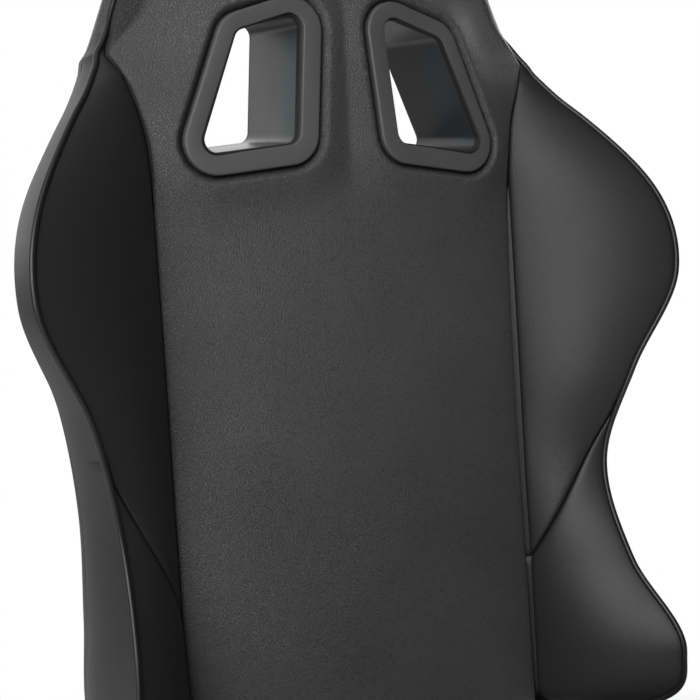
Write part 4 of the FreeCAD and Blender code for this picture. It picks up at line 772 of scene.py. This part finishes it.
# Painted shade: a near-black, matt ring with almost no shine.
SHADE_RING_BLACK = moulded("matt_black_shade_ring", "#0d0d0d", 0.7, texture=1.0, depth=0.2, ior=1.52)
shade_ring_round = (SHADE_RING_INNER + SHADE_RING_ROUND, SHADE_RING_FACE + SHADE_RING_ROUND)
shade_ring_profile = ([(SHADE_RING_OUTER, BEZEL_BACK), (SHADE_RING_INNER, BEZEL_BACK)]
                + rounded((SHADE_RING_INNER, shade_ring_round[1]), (shade_ring_round[0], SHADE_RING_FACE), shade_ring_round)
                + [(SHADE_RING_OUTER, SHADE_RING_FACE)])
for side, hand in HANDS:
    shade_ring = slot_sweep(f"slot_shade_ring_{hand}", shade_ring_profile, side, turned=False)
    dress(shade_ring, SHADE_RING_BLACK, 40)
    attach(shade_ring, "backrest")

# Slot liners. The tunnels' walls: one thin satin moulding in each slot, held between the front
# and the rear bezel, with the slot's rounded corners.
LINER_WALL = 2.0
# Satin moulded plastic: a smooth, faintly blue black with long soft highlights.
LINER_PLASTIC = moulded("satin_moulded_liner", "#1f2226", 0.38, texture=1.4, depth=0.05)
liner_profile = ([(0.0, depth) for depth in np.linspace(BEZEL_BACK, COVER_REAR, 9)]
                 + [(LINER_WALL, depth) for depth in np.linspace(COVER_REAR, BEZEL_BACK, 3)])
for side, hand in HANDS:
    liner = slot_sweep(f"slot_liner_{hand}", liner_profile, side, turned=False)
    dress(liner, LINER_PLASTIC, 35)
    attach(liner, "backrest")
    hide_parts(f"slot_sleeve_{hand}")

# Rear cover. A board pressed to a shallow tray and covered in smooth synthetic leather: one
# panel sewn to a band that turns round the edge to the wings, open for the two tunnels and
# notched at its foot for the recliner arms.
COVER_CORNER, CORNER_FULLNESS, COVER_WALL = 40.0, 0.8, 4.0
COVER_FRONT, END_ROLL, SIDE_CLEAR = 0.3, 20.0, 0.6
PANEL_SEAM, PANEL_ROWS, PANEL_DRAW = 8.0, 168, ((1.3, 1.5), (0.8, 6.0))
ARM_SIDE, ARM_HALF, ARM_NOTCH = 177.8, 20.0, 40.0


def cover_half(up):
    """Half width of the rear cover: the wings' rear edge below the neck, the head's above."""
    wing = np.where(up < WING_UP[-1], smooth_line(up, WING_UP, WING_REAR), HEAD_SIDE_BULGE)
    return seam_half(up) + wing - SIDE_CLEAR


cover_low, cover_high = WING_UP[0] + END_ROLL, CROWN_TOP - END_ROLL
rolled = np.linspace(0.0, math.pi / 2, 10)
rise = np.concatenate([WING_UP[0] + END_ROLL * (1 - np.cos(rolled)),
                       np.linspace(cover_low, cover_high, PANEL_ROWS + 2)[1:-1],
                       CROWN_TOP - END_ROLL * (1 - np.cos(rolled[::-1]))])[:, None]
deep = np.concatenate([np.sin(rolled), np.ones(PANEL_ROWS), np.sin(rolled[::-1])])[:, None]
quarter = np.linspace(0.0, math.pi / 2, 18)
flat = close_at_ends(90, 0.7)[1:-1]
inner = cover_half(rise) - COVER_CORNER
corner = COVER_CORNER * np.cos(quarter) ** CORNER_FULLNESS
across = np.concatenate([inner + corner, inner * (1 - 2 * flat), -inner - corner[::-1]], axis=1)
height = np.concatenate([np.sin(quarter), np.ones(len(flat)), np.cos(quarter)])
# The distance from the panel's seam, a rectangle: side_in and end_in are above 0 inside it.
side_in = inner + PANEL_SEAM - np.abs(across)
end_in = np.minimum(rise - cover_low, cover_high - rise) - PANEL_SEAM
seam_gap = np.where((side_in > 0) & (end_in > 0), np.minimum(side_in, end_in),
                    np.hypot(np.minimum(side_in, 0.0), np.minimum(end_in, 0.0)))
rearward = COVER_FRONT + (COVER_REAR - COVER_FRONT) * height * deep
rearward = rearward - into_seam(seam_gap, *PANEL_DRAW) * height
# Painted shade along the panel's seam.
rear_cover = surface("rear_cover", leaned(across, rearward, np.broadcast_to(rise, across.shape)),
                     painted_shade=into_seam(seam_gap, SEWN_SHADE))
weld(rear_cover)
wall = rear_cover.modifiers.new("wall", "SOLIDIFY")
wall.thickness = COVER_WALL / 1000.0
wall.offset = -1.0
settle(rear_cover)
cut_slots(rear_cover)
notch = np.array([(-1, -1), (1, -1), (1, 1), (-1, 1)]) * np.array([ARM_HALF, ARM_NOTCH])
for side in (-1, 1):
    ends = [leaned(side * ARM_SIDE + notch[:, 0], notch[:, 1], np.full(4, end))
            for end in (WING_UP[0] - ARM_HALF, WING_UP[0] + ARM_HALF)]
    cut_away(rear_cover, surface("arm_tool", np.array(ends), wrap=True, caps=True))
rear_cover.data.set_sharp_from_angle(angle=math.radians(40))
rear_cover.data.materials.clear()
rear_cover.data.materials.append(SMOOTH_LEATHER)
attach(rear_cover, "backrest")
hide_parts("back_rear_cover")

# Seat cushion. Moulded foam on the pan under the same grained leather as the back, crowned
# across, with a sewn nose panel; its long sides are drawn in against the thigh bolsters.
PAN_TOP = 165.0
CUSHION_PLACE = (-300.0, -284.0, -228.0, -90.0, 30.0, 118.0, 146.0)
CUSHION_TOP = (30.0, 76.0, 104.0, 99.0, 82.0, 66.0, 48.0)
CUSHION_HALF, CUSHION_CROWN, CUSHION_DRAW, CUSHION_SWELL = 158.0, 10.0, 5.0, 3.0
NOSE_LENGTH, NOSE_SEAM, NOSE_DRAW = 30.0, -214.0, ((2.4, 1.8), (1.6, 7.0))
# The second of these draws gives painted shade, not depth.
LONG_SEAM, LONG_SHADE, END_DRAW = (5.0, 3.0), (1.0, 1.2), (3.0, 3.0)
places = np.concatenate([CUSHION_PLACE[0] + NOSE_LENGTH * np.linspace(0.0, 1.0, 34) ** 1.6,
                         np.linspace(CUSHION_PLACE[0] + NOSE_LENGTH, CUSHION_PLACE[-1], 190)[1:]])
end_gap = np.minimum(places - CUSHION_PLACE[0], CUSHION_PLACE[-1] - places)[:, None]
top = smooth_line(places, CUSHION_PLACE, CUSHION_TOP)[:, None]
share = 1 - 2 * close_at_ends(110, 0.75)
across = np.broadcast_to(share * CUSHION_HALF, (len(places), len(share)))
seam_gap = CUSHION_HALF - np.abs(across)
nose_gap = np.abs(places - NOSE_SEAM)[:, None]
sink = into_seam(seam_gap, LONG_SEAM) + into_seam(nose_gap, *NOSE_DRAW)
crowned = top - CUSHION_CROWN * share ** 2 - sink - into_seam(end_gap, END_DRAW)
# Painted shade in the long seams and at the nose seam.
shade_share = np.maximum(into_seam(seam_gap, LONG_SHADE), into_seam(nose_gap, SEWN_SHADE))
drop = np.linspace(1.0, 0.0, 7)[1:]
draw = CUSHION_DRAW * (1 - drop) + CUSHION_SWELL * np.sin(math.pi * drop)
side_up = crowned[:, -1:] * drop
side_across = np.broadcast_to(CUSHION_HALF - draw, side_up.shape)
loop_across = np.concatenate([across, -side_across, side_across[:, ::-1]], axis=1)
loop_up = PAN_TOP + np.concatenate([crowned, side_up, side_up[:, ::-1]], axis=1)
loop_place = np.broadcast_to(places[:, None], loop_up.shape)
painted_shades = np.zeros(loop_up.shape)
painted_shades[:, :shade_share.shape[1]] = shade_share
cushion = surface("cushion_cover", np.stack([loop_across, loop_place, loop_up], axis=-1) / 1000.0,
                  wrap=True, caps=True, painted_shade=painted_shades)
dress(cushion, GRAINED_LEATHER, 55)
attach(cushion, "seat_base")
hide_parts("seat_cushion")

# Thigh bolsters. Firmer foam under smooth leather on both sides of the cushion, highest at
# the thighs, with a welt cord sewn in where the top panel meets the side.
BOLSTER_CREST = (38.0, 96.0, 141.0, 136.0, 86.0, 61.0, 42.0)
BOLSTER_OUTER = (222.0, 238.0, 250.0, 250.0, 238.0, 222.0, 214.0)
BOLSTER_GAP, TIP_SHARE, SIDE_SHARE = 0.3, 0.52, 0.5
BOLSTER_SEAM, BOLSTER_SWELL, WALL_SWELL = (3.0, 2.0), 5.0, 1.5
crest = smooth_line(places, CUSHION_PLACE, BOLSTER_CREST)[:, None]
outer = smooth_line(places, CUSHION_PLACE, BOLSTER_OUTER)[:, None]
inner = CUSHION_HALF + BOLSTER_GAP
start = np.stack([np.full_like(top, inner), top - CUSHION_CROWN], axis=-1)
tip = np.stack([inner + (outer - inner) * TIP_SHARE, crest], axis=-1)
stop = np.stack([outer, crest * SIDE_SHARE], axis=-1)


def arc_through(first, middle, last, shares):
    """A circle through three points: its centre lies where the perpendiculars to the two
    chords meet. Gives the centre, the radius, the angles at given shares of the way from the
    first point to the last, and the length of that way."""
    a, b = middle - first, last - first
    cross = 2 * (a[..., 0] * b[..., 1] - a[..., 1] * b[..., 0])
    aa, bb = (a ** 2).sum(-1), (b ** 2).sum(-1)
    centre = first + np.stack([(b[..., 1] * aa - a[..., 1] * bb) / cross,
                               (a[..., 0] * bb - b[..., 0] * aa) / cross], axis=-1)
    begin = np.arctan2(first[..., 1] - centre[..., 1], first[..., 0] - centre[..., 0])
    end = np.arctan2(last[..., 1] - centre[..., 1], last[..., 0] - centre[..., 0])
    turn = -((begin - end) % (2 * math.pi))
    radius = np.hypot(first[..., 0] - centre[..., 0], first[..., 1] - centre[..., 1])
    return centre, radius, begin + turn * shares, np.abs(turn) * radius


shares = close_at_ends(80, 0.75)
centre, radius, angles, length = arc_through(start, tip, stop, shares)
gap_in, gap_out = length * shares, length * (1 - shares)
sink = (into_seam(gap_in, BOLSTER_SEAM) + into_seam(gap_out, WING_WELT)
        + into_seam(end_gap, END_DRAW))
over = np.stack([centre[..., 0] + (radius - sink) * np.cos(angles),
                 centre[..., 1] + (radius - sink) * np.sin(angles)], axis=-1)
down = np.linspace(0.0, 1.0, 22)[1:]
swell = BOLSTER_SWELL * np.sin(math.pi * down) - into_seam(down * stop[..., 1], GUSSET_WELT)
side_face = np.stack([outer - 2 * CUSHION_DRAW * down + swell, stop[..., 1] * (1 - down)], axis=-1)
wall_share = np.linspace(0.0, 1.0, 9)[:-1]
wall_up = over[:, :1, 1] * wall_share
wall_across = inner + WALL_SWELL * np.sin(math.pi * wall_share)
wall_face = np.stack([np.broadcast_to(wall_across, wall_up.shape), wall_up], axis=-1)
loop = np.concatenate([over, side_face, wall_face], axis=1)
painted_shades = np.zeros(loop.shape[:2])
# Painted shade along the seam to the cushion and along the welt.
painted_shades[:, :len(shares)] = into_seam(gap_in, LONG_SHADE) + into_seam(gap_out, WELT_SHADE)
for side, hand in HANDS:
    points = np.stack([side * loop[..., 0], np.broadcast_to(places[:, None], loop.shape[:2]),
                       PAN_TOP + loop[..., 1]], axis=-1) / 1000.0
    bolster = surface(f"thigh_bolster_cover_{hand}", points, wrap=True, caps=True, painted_shade=painted_shades)
    dress(bolster, SMOOTH_LEATHER, 55)
    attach(bolster, "seat_base")
    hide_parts(f"thigh_bolster_{hand}")
    welt = np.stack([side * stop[:, 0, 0], places, PAN_TOP + stop[:, 0, 1]], axis=-1)
    cord = tube(f"bolster_piping_{hand}", welt[2:-2:2] / 1000.0, PIPING_RADIUS / 1000.0)
    cord.data.materials.append(PIPING)
    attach(cord, "seat_base")

# Finishes of the frame, rails, recliners, shields and small parts, whose shapes are those of
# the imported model: powder coated and zinc plated steel, ground steel, moulded plastics,
# rubber and woven webbing.


def plated(name, metal_hex, roughness, lines, depth):
    """Bare or plated steel: fine drawn lines along the piece break its reflections, and
    handling leaves it a little cloudy. The lines, in mm, are coarser than real ones, so that
    they show."""
    made, tree = blank(name)
    place = add(tree, "TexCoord").outputs["Object"]
    stretched = add(tree, "Mapping", {"Scale": (1.0, 0.06, 1.0)}, {"Vector": place})
    drawn = add(tree, "TexNoise", {"Scale": 1000.0 / lines, "Detail": 2.0},
                {"Vector": stretched.outputs[0]})
    bump = add(tree, "Bump", {"Strength": depth, "Distance": 0.0001},
               {"Height": drawn.outputs["Fac"]})
    shade, dull = handled(tree, place, metal_hex, 22.0, (0.86, 1.05),
                          (roughness - 0.05, roughness + 0.08))
    return finished(made, {"Metallic": 1.0},
                    {"Base Color": shade, "Roughness": dull, "Normal": bump.outputs[0]})


def webbing(name, dark_hex, light_hex, thread):
    """Woven elastic webbing: rows across the band, each with a round back, crossed by warp
    threads. A wave's period is 2 pi over 20 times its scale, so the rows lie 2 pi threads apart
    and the warp 1.4 pi. That is coarser than the real weave, so that it shows."""
    made, tree = blank(name)
    place = add(tree, "TexCoord").outputs["Object"]
    rows = add(tree, "TexWave", {"bands_direction": "X", "Scale": 1000.0 / thread / 20.0},
               {"Vector": place})
    warp = add(tree, "TexWave", {"bands_direction": "Z", "Scale": 1000.0 / thread / 14.0},
               {"Vector": place})
    woven = add(tree, "Math", {"operation": "MULTIPLY"},
                {0: rows.outputs["Fac"], 1: warp.outputs["Fac"]})
    bump = add(tree, "Bump", {"Strength": 0.6, "Distance": 0.0004},
               {"Height": woven.outputs[0]})
    colour = add(tree, "Mix",
                 {"data_type": "RGBA", 6: linear(dark_hex), 7: linear(light_hex)},
                 {0: woven.outputs[0]})
    return finished(made, {"Roughness": 0.8, "Sheen Weight": 0.3, "Sheen Roughness": 0.4},
                    {"Base Color": colour.outputs[2], "Normal": bump.outputs[0]})


FINISHES = {
    # Powder coat: a satin black skin with a slight orange peel.
    "black_steel": moulded("satin_powder_coat", "#1b1b1c", 0.38, texture=1.6, depth=0.12),
    # Zinc plate: a pale, slightly warm and cloudy metal.
    "zinc_steel": plated("bright_zinc_plate", "#b4b3ad", 0.34, lines=0.5, depth=0.15),
    # Ground bearing steel: a bright, almost mirror-like grey.
    "bright_steel": plated("ground_bearing_steel", "#c4c4c6", 0.16, lines=0.3, depth=0.05),
    # Grained polypropylene: black with a pebbled, matt skin.
    "shield_plastic": moulded("grained_moulded_polypropylene", "#1f1f20", 0.48, texture=0.9,
                              depth=0.5, ior=1.49),
    # Natural nylon: a creamy white with a soft shine.
    "cage_plastic": moulded("natural_moulded_nylon", "#d8d4c8", 0.45, texture=1.2, depth=0.1,
                            ior=1.53),
    # Moulded rubber: a dull black that hardly shines.
    "grip_rubber": moulded("matt_moulded_rubber", "#161616", 0.78, texture=1.1, depth=0.5,
                           ior=1.52),
    # Webbing: dark ribs with a faint textile sheen.
    "strap_webbing": webbing("woven_elastic_webbing", "#18181a", "#3a3a3d", thread=1.6),
}
for row in frame["record"]["subparts"]:
    if row["material_slot"] in FINISHES:
        for place in frame["nodes"][row["node"]].material_slots:
            place.material = FINISHES[row["material_slot"]]
